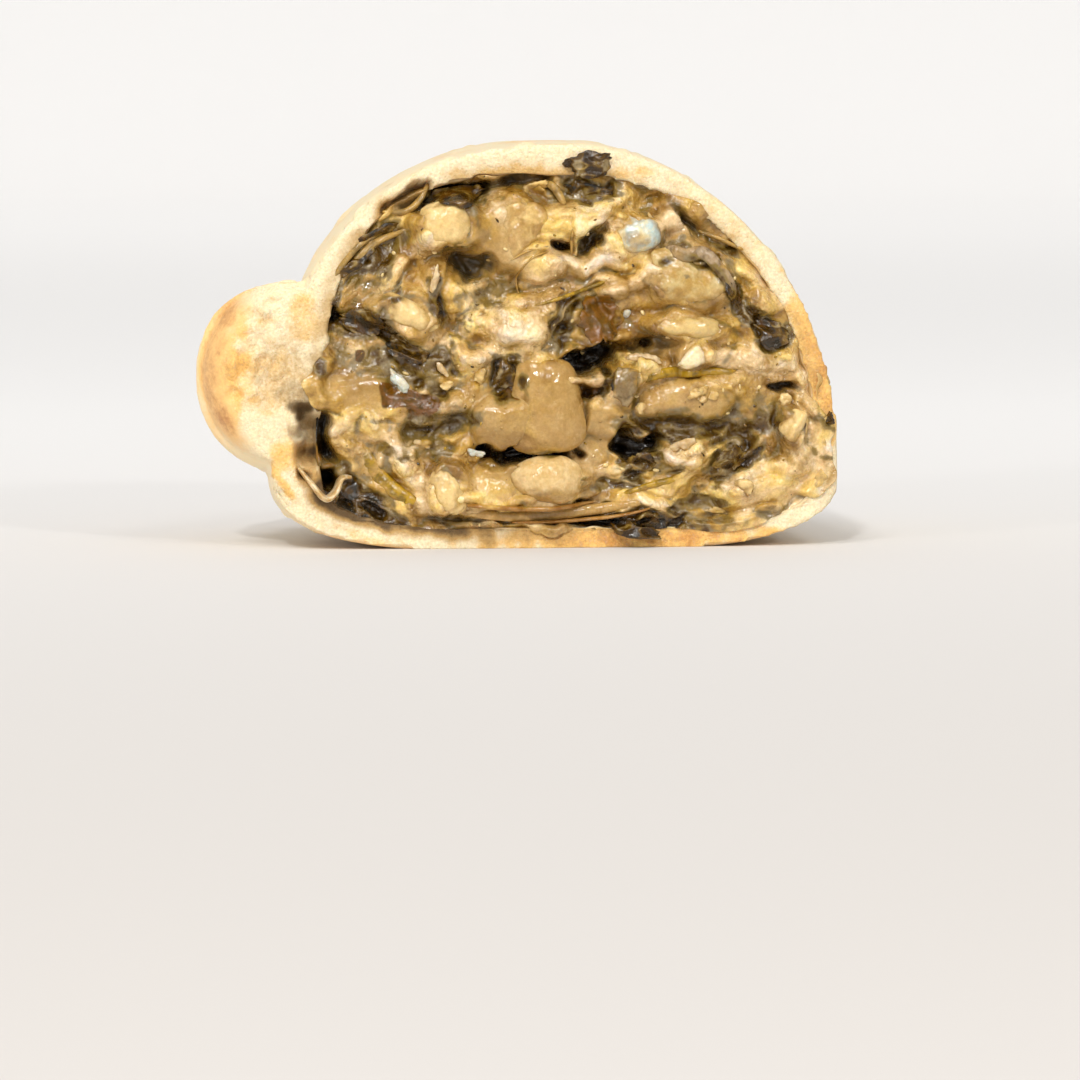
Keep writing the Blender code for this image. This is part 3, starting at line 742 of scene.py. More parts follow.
def body_edges(turn):
    """Crimp side, fold side, top and waist of the body, at a turn from the cut (0) to the corner (90 deg)."""
    taper = np.maximum(np.cos(turn), 0.0)
    swell = SWELL * np.sin(2 * np.maximum(turn, 0.0))
    crimp_side = CORNER_X - (CORNER_X - CRIMP_SIDE_X) * taper - SWELL_AT_CRIMP * swell
    fold_side = CORNER_X + (FOLD_SIDE_X - CORNER_X) * taper**FOLD_SIDE_TAPER + SWELL_AT_FOLD * swell
    top = CORNER_HEIGHT + (BODY_HEIGHT - CORNER_HEIGHT) * taper**TOP_TAPER + swell
    return crimp_side, fold_side, top, WAIST_HEIGHT * top / BODY_HEIGHT


def squareness(up, right, wall):
    return np.where(up < 0, SQUARE_BASE, np.where(right < 0, wall.crimp_square, SQUARE_FOLD_TOP))


def section_point(around, turn, wall, cap=1.0):
    """Points (x, z) of the body's section, inside the outer skin by the wall. The cap shrinks it."""
    crimp_side, fold_side, top, waist = body_edges(turn)
    low_x, high_x = crimp_side + wall.crimp, fold_side - wall.fold
    low_z, high_z = wall.base, top - wall.top
    right, up = np.cos(2 * np.pi * around), np.sin(2 * np.pi * around)
    power = 2 / squareness(up, right, wall)
    right, up = np.sign(right) * np.abs(right) ** power, np.sign(up) * np.abs(up) ** power
    reach = np.where(up > 0, high_z - waist, (waist - low_z) * BASE_PRESS)
    x = (low_x + high_x) / 2 + (high_x - low_x) / 2 * right * cap
    return x, np.maximum(waist + reach * up * cap, low_z)


def section_share(x, z, turn, wall):
    """How far out points are in the section: 0 in its middle and 1 on its skin."""
    crimp_side, fold_side, top, waist = body_edges(turn)
    low_x, high_x = crimp_side + wall.crimp, fold_side - wall.fold
    low_z, high_z = wall.base, np.maximum(top - wall.top, waist + 1)
    right = (x - (low_x + high_x) / 2) / np.maximum((high_x - low_x) / 2, 0.5)
    up = (z - waist) / np.where(z > waist, high_z - waist, (waist - low_z) * BASE_PRESS)
    square = squareness(up, right, wall)
    return (np.abs(right) ** square + np.abs(up) ** square) ** (1 / square)


def depth_turn(y, wall):
    """The turn at which a ring of the body lies, from its distance behind the cut."""
    return np.arcsin(np.clip((y - CUT_Y) / (BODY_DEPTH - wall.corner), 0.0, 0.999))


# ---- Meshes ----


def corners_of(shape):
    return np.array([tuple(corner.co) for corner in shape.verts])


def put_corners(shape, spots):
    """Moves every corner of a shape to its place, given in millimetres."""
    for corner, spot in zip(shape.verts, (spots * MM).tolist()):
        corner.co = spot


def merge(shape):
    bmesh.ops.remove_doubles(shape, verts=shape.verts, dist=WELD * MM)
    bmesh.ops.recalc_face_normals(shape, faces=shape.faces)


def wrapped_sheet(around, along, place):
    """A closed skin: a grid rolled into a tube by place(u, v), whose first and last rows are points."""
    shape = bmesh.new()
    bmesh.ops.create_grid(shape, x_segments=around, y_segments=along, size=0.5)
    flat = corners_of(shape) + 0.5
    put_corners(shape, place(flat[:, 0], flat[:, 1]))
    merge(shape)
    return shape


def new_object(name, shape):
    mesh = bpy.data.meshes.new(name)
    shape.to_mesh(mesh)
    shape.free()
    piece = bpy.data.objects.new(name, mesh)
    bpy.context.scene.collection.objects.link(piece)
    return piece


def applied(piece):
    """Replaces an object's mesh by what its modifiers make of it."""
    bpy.context.view_layer.update()
    view = piece.evaluated_get(bpy.context.evaluated_depsgraph_get())
    mesh = bpy.data.meshes.new_from_object(view)
    piece.modifiers.clear()
    piece.data = mesh


def vectors_of(items, name):
    flat = np.empty(len(items) * 3)
    items.foreach_get(name, flat)
    return flat.reshape(-1, 3)


def mesh_spots(mesh):
    return vectors_of(mesh.vertices, "co") / MM


def put_mesh_spots(mesh, spots):
    mesh.vertices.foreach_set("co", (spots * MM).ravel())
    mesh.update()


def put_layer(shape, name, values):
    """Stores a number at each corner of a shape."""
    layer = shape.verts.layers.float.new(name)
    for corner, value in zip(shape.verts, values.tolist()):
        corner[layer] = value


def put_mask(mesh, name, values):
    layer = mesh.attributes.new(name, "FLOAT", "POINT")
    layer.data.foreach_set("value", np.ascontiguousarray(values, dtype=np.float32))


def gathered(parts):
    """Several shapes as one."""
    whole = bmesh.new()
    for part in parts:
        mesh = bpy.data.meshes.new("part")
        part.to_mesh(mesh)
        part.free()
        whole.from_mesh(mesh)
        bpy.data.meshes.remove(mesh)
    return whole


def within_box(spots):
    """Eases spots back where they come near the sides of the solid model's box, but for its base."""
    low, high = (np.array(corner) / MM for corner in CAD_BOX)
    over = np.maximum(spots - (high - BOX_EASE), 0.0)
    under = np.maximum((low + BOX_EASE) - spots, 0.0) * (1, 1, 0)
    over, under = (past - BOX_EASE * np.tanh(past / BOX_EASE) for past in (over, under))
    return spots - over + under


def finish(piece, material, nodes=()):
    """Keeps a piece in the box, gives it its material and its body, and hides the solid parts that it
    replaces.
    """
    put_mesh_spots(piece.data, within_box(mesh_spots(piece.data)))
    piece.data.materials.clear()
    piece.data.materials.append(material)
    piece.data.shade_smooth()
    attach(piece, "root")
    if nodes:
        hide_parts(*nodes)


# ---- Dough ----


def body_skin(wall, front):
    """Closed skin of the body, less its wall, which runs past the cut plane by front."""

    def place(u, v):
        row = np.round(v * (BODY_RINGS + 2))
        turn = wall.last_turn * np.clip((row - 2) / (BODY_RINGS - 1), 0.0, 1.0)
        cap = np.where((row == 0) | (row > BODY_RINGS + 1), 0.0, 1.0)
        x, z = section_point(u, turn, wall, cap)
        y = CUT_Y + (BODY_DEPTH - wall.corner) * np.sin(turn)
        return np.stack((x, np.where(row < 2, CUT_Y - front, y), z), axis=1)

    return wrapped_sheet(BODY_POINTS, BODY_RINGS + 2, place)


def crimp_skin():
    """Closed skin of the rope crimp that follows the round side, with its slanted overlapping folds."""

    def place(u, v):
        turn = CRIMP_START_TURN + (CRIMP_END_TURN - CRIMP_START_TURN) * v
        share = np.clip(turn / (np.pi / 2), 0.0, 1.0)
        angle = 2 * np.pi * u
        fold = (CRIMP_START + CRIMP_FOLDS * turn / (np.pi / 2) + CRIMP_SLANT * np.sin(angle)) % 1.0
        bulge = CRIMP_BULGE * np.sin(np.pi * fold**CRIMP_BULGE_SKEW)
        taper = np.clip((CRIMP_END_TURN - turn) / CRIMP_TAPER, 0.0, 1.0)
        ends = np.where((v > 0.001) & (v < 0.999), taper, 0.0)
        size = (1 - (1 - CRIMP_CORNER_SCALE) * share) * np.sqrt(ends)
        out = (CRIMP_REACH + bulge) * size * np.cos(angle) - CRIMP_CENTRE_IN
        up = (CRIMP_HALF_HEIGHT + CRIMP_BULGE_UP * bulge) * size * np.sin(angle)
        way = np.stack((-BODY_DEPTH * np.cos(turn), (CORNER_X - CRIMP_SIDE_X) * np.sin(turn)))
        way /= np.hypot(*way)
        x = CORNER_X - (CORNER_X - CRIMP_SIDE_X) * np.cos(turn) + way[0] * out
        y = CUT_Y + BODY_DEPTH * np.sin(turn) + way[1] * out
        z = CRIMP_CENTRE_Z + (CRIMP_CORNER_Z - CRIMP_CENTRE_Z) * share + up
        return np.stack((x, y, np.maximum(z, 0.0)), axis=1)

    return wrapped_sheet(CRIMP_POINTS, CRIMP_RINGS, place)


def knife_block():
    """Everything in front of the cut plane."""
    shape = bmesh.new()
    bmesh.ops.create_cube(shape, size=1.0)
    block = Matrix.Diagonal((120 * MM, 30 * MM, 120 * MM, 1))
    place = Matrix.Translation((0, (CUT_Y - 15) * MM, 0)) @ block
    bmesh.ops.transform(shape, verts=shape.verts, matrix=place)
    return shape


def dough_blank():
    """The shell as one mesh of even squares: body and crimp joined, hollowed out and cut."""
    blank = new_object("dough_shell", body_skin(OUTER_SKIN, OVERRUN))
    helpers = (
        (new_object("crimp_helper", crimp_skin()), "UNION"),
        (new_object("hollow_helper", body_skin(INNER_SKIN, 2 * OVERRUN)), "DIFFERENCE"),
        (new_object("knife_helper", knife_block()), "DIFFERENCE"),
    )
    for helper, operation in helpers:
        step = blank.modifiers.new(helper.name, "BOOLEAN")
        step.object = helper
        step.operation = operation
    remesh = blank.modifiers.new("Even Mesh", "REMESH")
    remesh.mode = "VOXEL"
    remesh.voxel_size = sizes().voxel
    applied(blank)
    for helper, _ in helpers:
        bpy.data.objects.remove(helper)
    return blank


def refine_near_cut(piece, reach):
    """Halves the mesh size within reach of the cut plane."""
    shape = bmesh.new()
    shape.from_mesh(piece.data)
    limit = (CUT_Y + reach) * MM
    near = [edge for edge in shape.edges if all(corner.co.y < limit for corner in edge.verts)]
    bmesh.ops.subdivide_edges(shape, edges=near, cuts=1, use_grid_fill=True, smooth=0.0)
    shape.to_mesh(piece.data)
    shape.free()


def most(table, x, z, frays, edge=(1.3, 0.3)):
    """The strongest of a table's spots at each point. The edge is where a spot begins and is whole."""
    mask = np.zeros_like(x)
    for spot in table:
        np.maximum(mask, spot.amount * smoothstep(*edge, ragged_reach(x, z, spot, frays)), out=mask)
    return mask


def edge_distance(x, z, turn):
    """How far points of the section are from its outer edge, with the crimp's lobe."""
    crimp_side, fold_side, _, waist = body_edges(turn)
    far = np.hypot(x - (crimp_side + fold_side) / 2, z - waist)
    body = far * (1 / np.maximum(section_share(x, z, turn, OUTER_SKIN), 0.05) - 1)
    lobe = LOBE_RADIUS * (1 - np.hypot((x - LOBE.x) / LOBE.half_long, (z - LOBE.z) / LOBE.half_wide))
    return np.maximum(np.maximum(body, lobe), 0.0)


def round_edge(spots):
    """How far back the edge between cut and skin is rounded, most at the lobe's far side."""
    x, y, z = spots.T
    behind = y - CUT_Y
    near = edge_distance(x, z, depth_turn(y, OUTER_SKIN))
    radius = 0.7 + 3.4 * smoothstep(-24.0, -30.0, x)
    radius += 0.7 * smoothstep(20.0, 24.0, z) * smoothstep(-14.0, -22.0, x)
    radius *= smoothstep(0.0, 2.0, z) * 0.8 + 0.2
    inward = np.clip(near / radius, 0.0, 1.0)
    back = radius * (1 - np.sqrt(1 - (1 - inward) ** 2))
    return back * np.clip(1 - behind / 6.0, 0.0, 1.0)


def shape_dough(piece):
    """Gives the dough its uneven skin and crumb, and marks its cut, golden, browned and smeared places."""
    mesh = piece.data
    spots, normals = mesh_spots(mesh), vectors_of(mesh.vertex_normals, "vector")
    x, y, z = spots.T
    behind = y - CUT_Y
    inner = section_share(x, z, depth_turn(y, INNER_SKIN), INNER_SKIN)
    outer = section_share(x, z, depth_turn(y, OUTER_SKIN), OUTER_SKIN)
    frays = frays_at(spots, 1.7)
    near = edge_distance(x, z, 0.0) + 0.5 * frays[0] + 0.2 * frays[1]
    browned_side = smoothstep(-25.0, -28.5, x) * smoothstep(2.6, 0.9, near)
    cut = smoothstep(0.75, 0.25, behind) * smoothstep(0.35, 0.8, -normals[:, 1]) * (1 - browned_side)
    gap = np.hypot(x - MIDDLE_X, z - WAIST_HEIGHT) * (1 - 1 / np.maximum(inner, 1.0))
    near_hollow = smoothstep(3.2, 0.0, gap + 0.5 * frays[0] + 0.25 * frays[1])
    inside = smoothstep(1.06, 1.02, inner) * smoothstep(0.0, 0.6, behind) * smoothstep(16.0, 12.0, y)
    crimp = smoothstep(1.0, 1.16, outer) * smoothstep(15.0, 4.0, x)
    skin = (1 - cut) * (1 - inside)

    waves = ripple(spots, 9.0, 1)
    patches = ripple(spots, 5.0, 2) + 0.5 * ripple(spots, 2.0, 3)
    rise = sizes().undulation / MM * waves + 0.09 * ripple(spots, 3.0, 4) + 0.03 * ripple(spots, 1.0, 5)
    blisters = np.clip(ripple(spots, 2.6, 6) - 0.38, 0.0, 1.0) * 0.9
    off_base = smoothstep(0.15, 1.8, z)
    torn = smoothstep(1.2, 0.5, np.hypot((x + 26.6) / 3.6, (z - 20.0) / 6.4)) * cut
    lift = skin * off_base * (rise + blisters)
    lift += cut * (0.3 * ripple(spots, 3.6, 7) + 0.10 * ripple(spots, 1.3, 8) + 0.05 * frays[1])
    lift += torn * (1.3 * np.abs(ripple(spots, 1.8, 9)) + 0.5 * np.abs(ripple(spots, 0.8, 10)) - 0.6)
    lift += inside * 0.25 * ripple(spots, 2.2, 10)
    moved = spots + normals * lift[:, None]
    moved[:, 1] += round_edge(spots)
    for spot in DENTS:
        depth = spot.amount * smoothstep(1.15, 0.45, ragged_reach(x, z, spot, frays))
        moved[:, 1] += np.maximum(depth - behind, 0.0)
    moved[:, 2] = np.maximum(moved[:, 2], 0.0)

    crest = smoothstep(0.45, 1.0, z / BODY_HEIGHT) * smoothstep(-0.2, 0.8, normals[:, 2])
    base = smoothstep(3.4, 0.4, z)
    ridge = crimp * smoothstep(-0.1, 0.9, normals[:, 2] + 0.4 * waves)
    brown = 0.1 + 0.5 * crest * smoothstep(-0.5, 0.8, patches) * smoothstep(1.0, 9.0, behind)
    brown += 0.5 * browned_side * smoothstep(1.0, 0.0, behind)
    brown += 0.42 * base + 0.35 * ridge * smoothstep(0.0, 5.0, behind) + 0.14 * patches + 0.22 * crimp
    put_mesh_spots(mesh, moved)
    # A darker band along the inner edge of the cut, put in the inside mask: partly soaked dough, partly
    # painted shade where the cut meets the hollow.
    edge = 0.6 * cut * smoothstep(1.05, 1.0, inner + 0.02 * frays[0])
    put_mask(mesh, "cut", cut)
    put_mask(mesh, "inside", np.maximum(inside, edge))
    put_mask(mesh, "brown", np.clip(brown, 0.0, 1.0))
    put_mask(mesh, "warm", most(WARM_DOUGH, x, z, frays) + 0.35 * torn * ripple(spots, 1.4, 11))
    put_mask(mesh, "damp", most(SOAKED_AND_SHADED_DOUGH, x, z, frays) * near_hollow * smoothstep(3.0, 1.0, behind))
    put_mask(mesh, "smear", most(SMEARS, x, z, frays) * smoothstep(3.0, 1.0, behind))


# ---- Filling ----

Relief = namedtuple("Relief", "height leaf cream grey amber shade streak rise calm")


def spot_frame(x, z, spot):
    """Places along and across a spot, from its middle."""
    return turned(x - spot.x, z - spot.z, -spot.turn)


def reach(x, z, spot):
    """How far out points are on a spot: 0 in its middle and 1 at its edge."""
    along, across = spot_frame(x, z, spot)
    return np.hypot(along / spot.half_long, across / spot.half_wide)


def flow_noise(x, z, wide, seed):
    """Noise whose waves are drawn out the way the sauce runs."""
    total, weights = np.zeros_like(x), np.zeros_like(x)
    for flow in FLOWS:
        out = reach(x, z, flow)
        near = out < 1.8
        along, across = spot_frame(x[near], z[near], flow)
        spots = np.stack((along / flow.amount, across * 0 + 3.1 * seed, across), axis=1)
        weight = 0.12 if flow.half_long > 100 else np.exp(-2.0 * out[near] ** 2)
        total[near] += weight * ripple(spots, wide, seed)
        weights[near] += weight
    return total / weights


def ragged_reach(x, z, spot, frays):
    """How far out points are on a spot with a frayed edge. Frays are slow and quick noise at the points."""
    out = reach(x, z, spot)
    size = min(spot.half_long, spot.half_wide)
    return out * (1 + 0.25 * frays[0]) + 0.32 * frays[0] + 0.22 / max(size, 0.8) * frays[1]


def climbs():
    """Where the sauce climbs onto the large pieces. The amount is how far their fronts stand out."""
    spots = []
    for row in LARGE_PIECES:
        middle, half = node_place(row.node)
        stand = CLEAR.get(row.kind, 1.0) * (CUT_Y - middle[1] + half[1])
        spots.append(Spot(row.node, middle[0], middle[2], half[0], half[2], 0, stand))
    return spots


def grains(x, z, size, seed):
    """Small domes side by side, from 0 between them to 1 on top."""
    places = np.stack((x / size, np.full_like(x, seed), z / size), axis=1)
    nearest = np.array([noise.voronoi(place)[0][0] for place in places.tolist()])
    return np.sqrt(np.clip(1 - (nearest / 0.68) ** 2, 0.0, 1.0))


def soft_size(values, ease=0.04):
    """How far values are from 0, without a sharp turn there."""
    return np.sqrt(values**2 + ease**2)


def sauce_relief(x, z, fine=True):
    """Height of the filling before the cut plane, and what shows there. Without fine, only slow waves."""
    spots = np.stack((x, np.zeros_like(x), z), axis=1)
    bent_x = x + 0.8 * ripple(spots, 3.2, 11) + 0.25 * ripple(spots, 1.1, 12)
    bent_z = z + 0.8 * ripple(spots, 3.2, 13) + 0.25 * ripple(spots, 1.1, 14)
    frays = frays_at(spots)
    across, up = (x - MIDDLE_X) / (FOLD_SIDE_X - MIDDLE_X), (z - MIDDLE_Z) / MIDDLE_Z
    calm = most(CALM_PATCHES, x, z, frays, CALM_EDGE)
    big = flow_noise(bent_x, bent_z, 4.2, 15)
    base = 0.9 * (1 - across**2 - up**2) - 0.5 + 0.7 * ripple(spots, 6.5, 15)
    base += (1 - 0.6 * calm) * 3.2 * (soft_size(big) - 0.17)
    height = base.copy()
    for spot in SWELLS:
        dome = np.sqrt(np.clip(1 - reach(bent_x, bent_z, spot) ** 2, 0.0, 1.0))
        height += 0.75 * spot.amount * dome
    for spot in climbs():
        climb = smoothstep(1.4, 0.9, reach(bent_x, bent_z, spot))
        height += climb * np.maximum(0.72 * spot.amount - height, 0.0)
    if not fine:
        return Relief(height, *[np.zeros_like(x)] * 7, calm)
    leaf, cream, shade = (np.zeros_like(x) for _ in range(3))
    middling = flow_noise(bent_x, bent_z, 1.7, 25)
    streak = flow_noise(bent_x, bent_z, 0.6, 27)
    lumps = (1 - 0.85 * calm) * (soft_size(middling) - 0.15)
    height += 1.1 * lumps + 0.16 * (1 - 0.85 * calm) * np.abs(streak)
    # Rise is how far a place stands above the slow waves; the material paints raised places paler and dips
    # darker, partly as painted light and shade.
    rise = 2.4 * (1 - 0.6 * calm) * (soft_size(big) - 0.17) + 3.0 * lumps
    grainy = most(GRAINY_PATCHES, bent_x, bent_z, frays)
    grainy = np.maximum(grainy, 0.8 * smoothstep(0.1, 0.5, ripple(spots, 5.0, 35))) * (1 - 0.9 * calm)
    domes = grains(bent_x, bent_z, 1.15, 3.0) + 0.4 * grains(bent_x, bent_z, 0.6, 8.0) - 0.75
    height += 0.36 * grainy * domes
    rise += 0.9 * grainy * domes
    for spot in SMALL_CURDS:
        out = ragged_reach(bent_x, bent_z, spot, frays)
        height += 0.45 * min(spot.half_wide, 1.3) * np.clip(1 - out**2, 0.0, 1.0) ** 0.5
        np.maximum(cream, 0.95 * smoothstep(1.2, 0.7, out), out=cream)
    cream = np.maximum(cream, most(CREAM_PATCHES, bent_x, bent_z, frays, FADED_EDGE))
    grey = most(GREY_AND_SHADED_PATCHES, bent_x, bent_z, frays, FADED_EDGE)
    amber = most(AMBER_PATCHES, bent_x, bent_z, frays, FADED_EDGE)
    # The creases of the slow waves are painted grey: partly thin sauce over leaves, partly painted shade.
    creases = smoothstep(0.12, 0.0, np.abs(big)) * (1 - 0.7 * calm)
    np.maximum(grey, 0.9 * creases, out=grey)
    for seed, spot in enumerate(FOLDED_LEAVES):
        out = ragged_reach(bent_x, bent_z, spot, frays)
        near = out < 1.35
        ridge = np.zeros_like(x)
        along, over = spot_frame(bent_x[near], bent_z[near], spot)
        folds = np.stack((along / 3.0, np.zeros_like(along), over / 1.4), axis=1)
        ridge[near] = 1 - soft_size(ripple(folds, 1.0, seed + 20), 0.02) * 2
        inside = smoothstep(1.3, 0.75, out)
        height += inside * spot.amount * (0.7 * np.clip(ridge, -0.3, 1) ** 2 - 0.7)
        bare = 1 - 0.3 * smoothstep(0.6, 0.95, ridge)
        np.maximum(leaf, spot.amount * smoothstep(1.35, 0.55, out) * bare, out=leaf)
    # Each hollow is sunk, and its shade mask paints it dark as shade.
    for spot in HOLLOWS:
        out = ragged_reach(bent_x, bent_z, spot, frays)
        height -= spot.amount * smoothstep(1.3, 0.55, out)
        np.maximum(shade, smoothstep(1.12, 0.6, out) * min(spot.amount / 3, 1.0), out=shade)
    return Relief(height, leaf, cream, grey, amber, shade, streak, rise, calm)


def outline_share(turn_angle):
    """For angles round the middle of the face: distance to the filling's outline, and its parameter there."""
    around = np.linspace(0.0, 1.0, 1441)[:-1]
    x, z = section_point(around, 0.0, FILLING_SKIN)
    angle = np.arctan2(z - MIDDLE_Z, x - MIDDLE_X) % (2 * np.pi)
    order = np.argsort(angle)
    angle, around = angle[order], around[order]
    radius = np.hypot(x - MIDDLE_X, z - MIDDLE_Z)[order]
    around = np.unwrap(around * 2 * np.pi) / (2 * np.pi)
    angle = np.concatenate((angle - 2 * np.pi, angle, angle + 2 * np.pi))
    radius = np.tile(radius, 3)
    around = np.concatenate((around - 1, around, around + 1))
    wanted = turn_angle % (2 * np.pi)
    return np.interp(wanted, angle, radius), np.interp(wanted, angle, around)


def disc_of_square(s, t):
    """Maps the square from -1 to 1 onto the unit disc."""
    return s * np.sqrt(1 - t**2 / 2), t * np.sqrt(1 - s**2 / 2)


def filling_core():
    """The filling: a fine face at the cut, drawn back to the corner in rings."""
    shape = bmesh.new()
    bmesh.ops.create_grid(shape, x_segments=FRONT_COLUMNS, y_segments=FRONT_ROWS, size=1.0)
    flat = corners_of(shape)
    u, v = disc_of_square(flat[:, 0], flat[:, 1])
    angle = np.arctan2(v, u)
    radius, around = outline_share(angle)
    edge_x, edge_z = MIDDLE_X + radius * np.cos(angle), MIDDLE_Z + radius * np.sin(angle)
    spill = np.zeros_like(angle)
    for spot in SPILLS:
        np.maximum(spill, spot.amount * smoothstep(1.0, 0.2, reach(edge_x, edge_z, spot)), out=spill)
    rim = circle_spots(angle)
    radius = radius + 0.3 * ripple(rim, 0.09, 29) + spill * (1 + 0.5 * ripple(rim, 0.05, 30))
    share = np.hypot(u, v)
    x = MIDDLE_X + share * radius * np.cos(angle)
    z = MIDDLE_Z + share * radius * np.sin(angle)
    relief = sauce_relief(x, z)
    height = relief.height
    sunk = smoothstep(-0.15, 0.25, ripple(rim, 0.22, 28)) * smoothstep(0.4, 0.0, spill)
    height += smoothstep(0.90, 0.96, share) * smoothstep(0.0, 0.5, spill) * (np.maximum(height, 0.7) - height)
    height += smoothstep(0.94, 1.0, share) * (0.35 * np.minimum(height, 1.0) - 1.0 * sunk + 0.05 - height)
    put_corners(shape, np.stack((x, CUT_Y - height, z), axis=1))
    for name in Relief._fields[1:]:
        put_layer(shape, name, getattr(relief, name))
    put_layer(shape, "around", around)
    parameter = shape.verts.layers.float["around"]
    rim = [edge for edge in shape.edges if edge.is_boundary]
    for ring in range(1, FILLING_RINGS + 1):
        turn = FILLING_SKIN.last_turn * ring / FILLING_RINGS
        new = bmesh.ops.extrude_edge_only(shape, edges=rim)["geom"]
        rim = [item for item in new if isinstance(item, bmesh.types.BMEdge) and item.is_boundary]
        corners = [item for item in new if isinstance(item, bmesh.types.BMVert)]
        params = np.array([corner[parameter] for corner in corners])
        x, z = section_point(params, turn, FILLING_SKIN)
        y = CUT_Y + (BODY_DEPTH - FILLING_SKIN.corner) * math.sin(turn)
        for corner, px, pz in zip(corners, x.tolist(), z.tolist()):
            corner.co = (px * MM, y * MM, pz * MM)
    middle = sum((corner.co for corner in corners), Vector()) / len(corners)
    bmesh.ops.pointmerge(shape, verts=corners, merge_co=middle)
    merge(shape)
    return new_object("creamy_filling", shape)


# ---- Pieces in the filling ----


def lump(middle, half, turn, look, seed, fineness):
    """An uneven piece: a rounded block, shorn off by planes, waved and cracked.

    The crown lowers its rim, the pinch narrows its top and the point narrows its right end.
    """
    shape = bmesh.new()
    bmesh.ops.create_icosphere(shape, subdivisions=fineness, radius=1.0)
    ways = corners_of(shape)
    ways /= np.linalg.norm(ways, axis=1)[:, None]
    rng = np.random.default_rng(seed)
    shears = rng.normal(size=(look.planes, 3))
    shears /= np.linalg.norm(shears, axis=1)[:, None]
    nearness = np.maximum(ways @ shears.T, 0.0) / rng.uniform(0.6, 0.95, look.planes)
    block = np.sum(np.abs(ways) ** look.square, axis=1) ** (1 / look.square)
    spots = ways / ((block**9 + np.sum(nearness**9, axis=1)) ** (1 / 9))[:, None]
    spots *= np.array(half) / np.max(np.abs(spots), axis=0)
    swing = 1 + look.wobble * ripple(spots, look.wobble_size, seed)
    swing += 0.45 * look.wobble * ripple(spots, look.wobble_size / 2.4, seed + 1)
    spots *= swing[:, None]
    rim = (spots[:, 0] / half[0]) ** 2 + 0.6 * (spots[:, 2] / half[2]) ** 4
    spots[:, 1] *= 1 - look.crown * np.minimum(rim, 1.0)
    spots[:, 0] *= 1 - look.pinch * spots[:, 2] / half[2]
    spots[:, 2] *= 1 - look.point * spots[:, 0] / half[0]
    cracks = smoothstep(0.12, 0.0, np.abs(ripple(spots, 1.1, seed + 2)))
    grain = 0.05 * min(min(half), 1.5) * ripple(spots, 0.5, seed + 3)
    spots -= ways * (look.crack * cracks + grain)[:, None]
    along, across = spots[:, 0].copy(), spots[:, 2].copy()
    x, z = turned(along, across, turn)
    put_corners(shape, np.stack((x, spots[:, 1], z), axis=1) + np.array(middle))
    keep_fibres(shape, along, across)
    return shape


def keep_fibres(shape, along, across):
    """Stores each corner's place along and across the piece, for the grain of its material."""
    put_layer(shape, "along", along)
    put_layer(shape, "across", across)


def coat(piece, cover, ragged):
    """Marks sauce on a piece near where it leaves the filling, and dark leaf on it; both are partly painted
    shade.
    """
    spots = mesh_spots(piece.data)
    x, z = spots[:, 0], spots[:, 2]
    stand = CUT_Y - spots[:, 1] - sauce_relief(x, z).height
    share = smoothstep(cover, -0.1, stand + ragged * ripple(spots, 1.3, 31))
    frays = frays_at(spots)
    # The sauce colour on the lower and left sides of some pieces is partly painted shade.
    put_mask(piece.data, "coat", np.maximum(share, most(SAUCE_AND_SHADE_ON_PIECES, x, z, frays)))
    # The dark mask is leaf, and painted shade along the lower edges of some pieces.
    put_mask(piece.data, "dark", most(DARK_LEAF_AND_SHADE_MARKS, x, z, frays))


def node_place(node):
    """Middle and half size of a solid piece, in millimetres."""
    low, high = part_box(node)
    return np.array((low + high) / 2) / MM, np.array((high - low) / 2) / MM


def sauce_level(x, z):
    """Height of the filling's slow waves."""
    return sauce_relief(np.atleast_1d(x), np.atleast_1d(z), fine=False).height


def crumpled_leaf(spot, seed, crumple=0.45):
    """A thin crumpled leaf: one long edge dives into the sauce and the other, ragged, stands out of it."""
    shape = bmesh.new()
    bmesh.ops.create_icosphere(shape, subdivisions=5, radius=1.0)
    ball = corners_of(shape)
    angle = np.arctan2(ball[:, 1], ball[:, 0])
    out = np.arccos(np.clip(np.abs(ball[:, 2]), 0.0, 1.0)) / (math.pi / 2)
    u, v = out * np.cos(angle), out * np.sin(angle)
    rim = circle_spots(angle)
    ragged = 1 + out * (0.3 * ripple(rim, 0.7, seed) + 0.16 * ripple(rim, 0.22, seed + 4))
    a, b = u * spot.half_long * ragged, v * spot.half_wide * ragged
    local = np.stack((a, b, a * 0), axis=1)
    a = a + 0.5 * ripple(local, 1.7, seed + 1)
    b = b + 0.4 * ripple(local, 1.4, seed + 2)
    ridges = 1 - 2.4 * soft_size(ripple(np.stack((a / 1.9, b / 1.1, a * 0), axis=1), 1.0, seed + 3), 0.08)
    right, up = turned(a, b, spot.turn)
    x, z = spot.x + right, spot.z + up
    side = 1 if seed % 2 else -1
    stand = smoothstep(-0.9, 0.7, side * v)
    lift = spot.amount * stand * (1 - u**4) - 0.35 * (1 - stand) - 0.3 * u**6
    lift += crumple * np.clip(ridges, -0.4, 1.0) * (1 - 0.5 * out)
    lift += 0.5 * sizes().leaf_thickness / MM * np.sign(ball[:, 2]) * np.sqrt(1 - np.minimum(out, 1.0) ** 4)
    put_corners(shape, np.stack((x, CUT_Y - sauce_level(x, z) - lift, z), axis=1))
    bmesh.ops.recalc_face_normals(shape, faces=shape.faces)
    keep_fibres(shape, a, b)
    put_layer(shape, "bare", 1 - 0.35 * smoothstep(0.6, 0.95, ridges))
    return shape


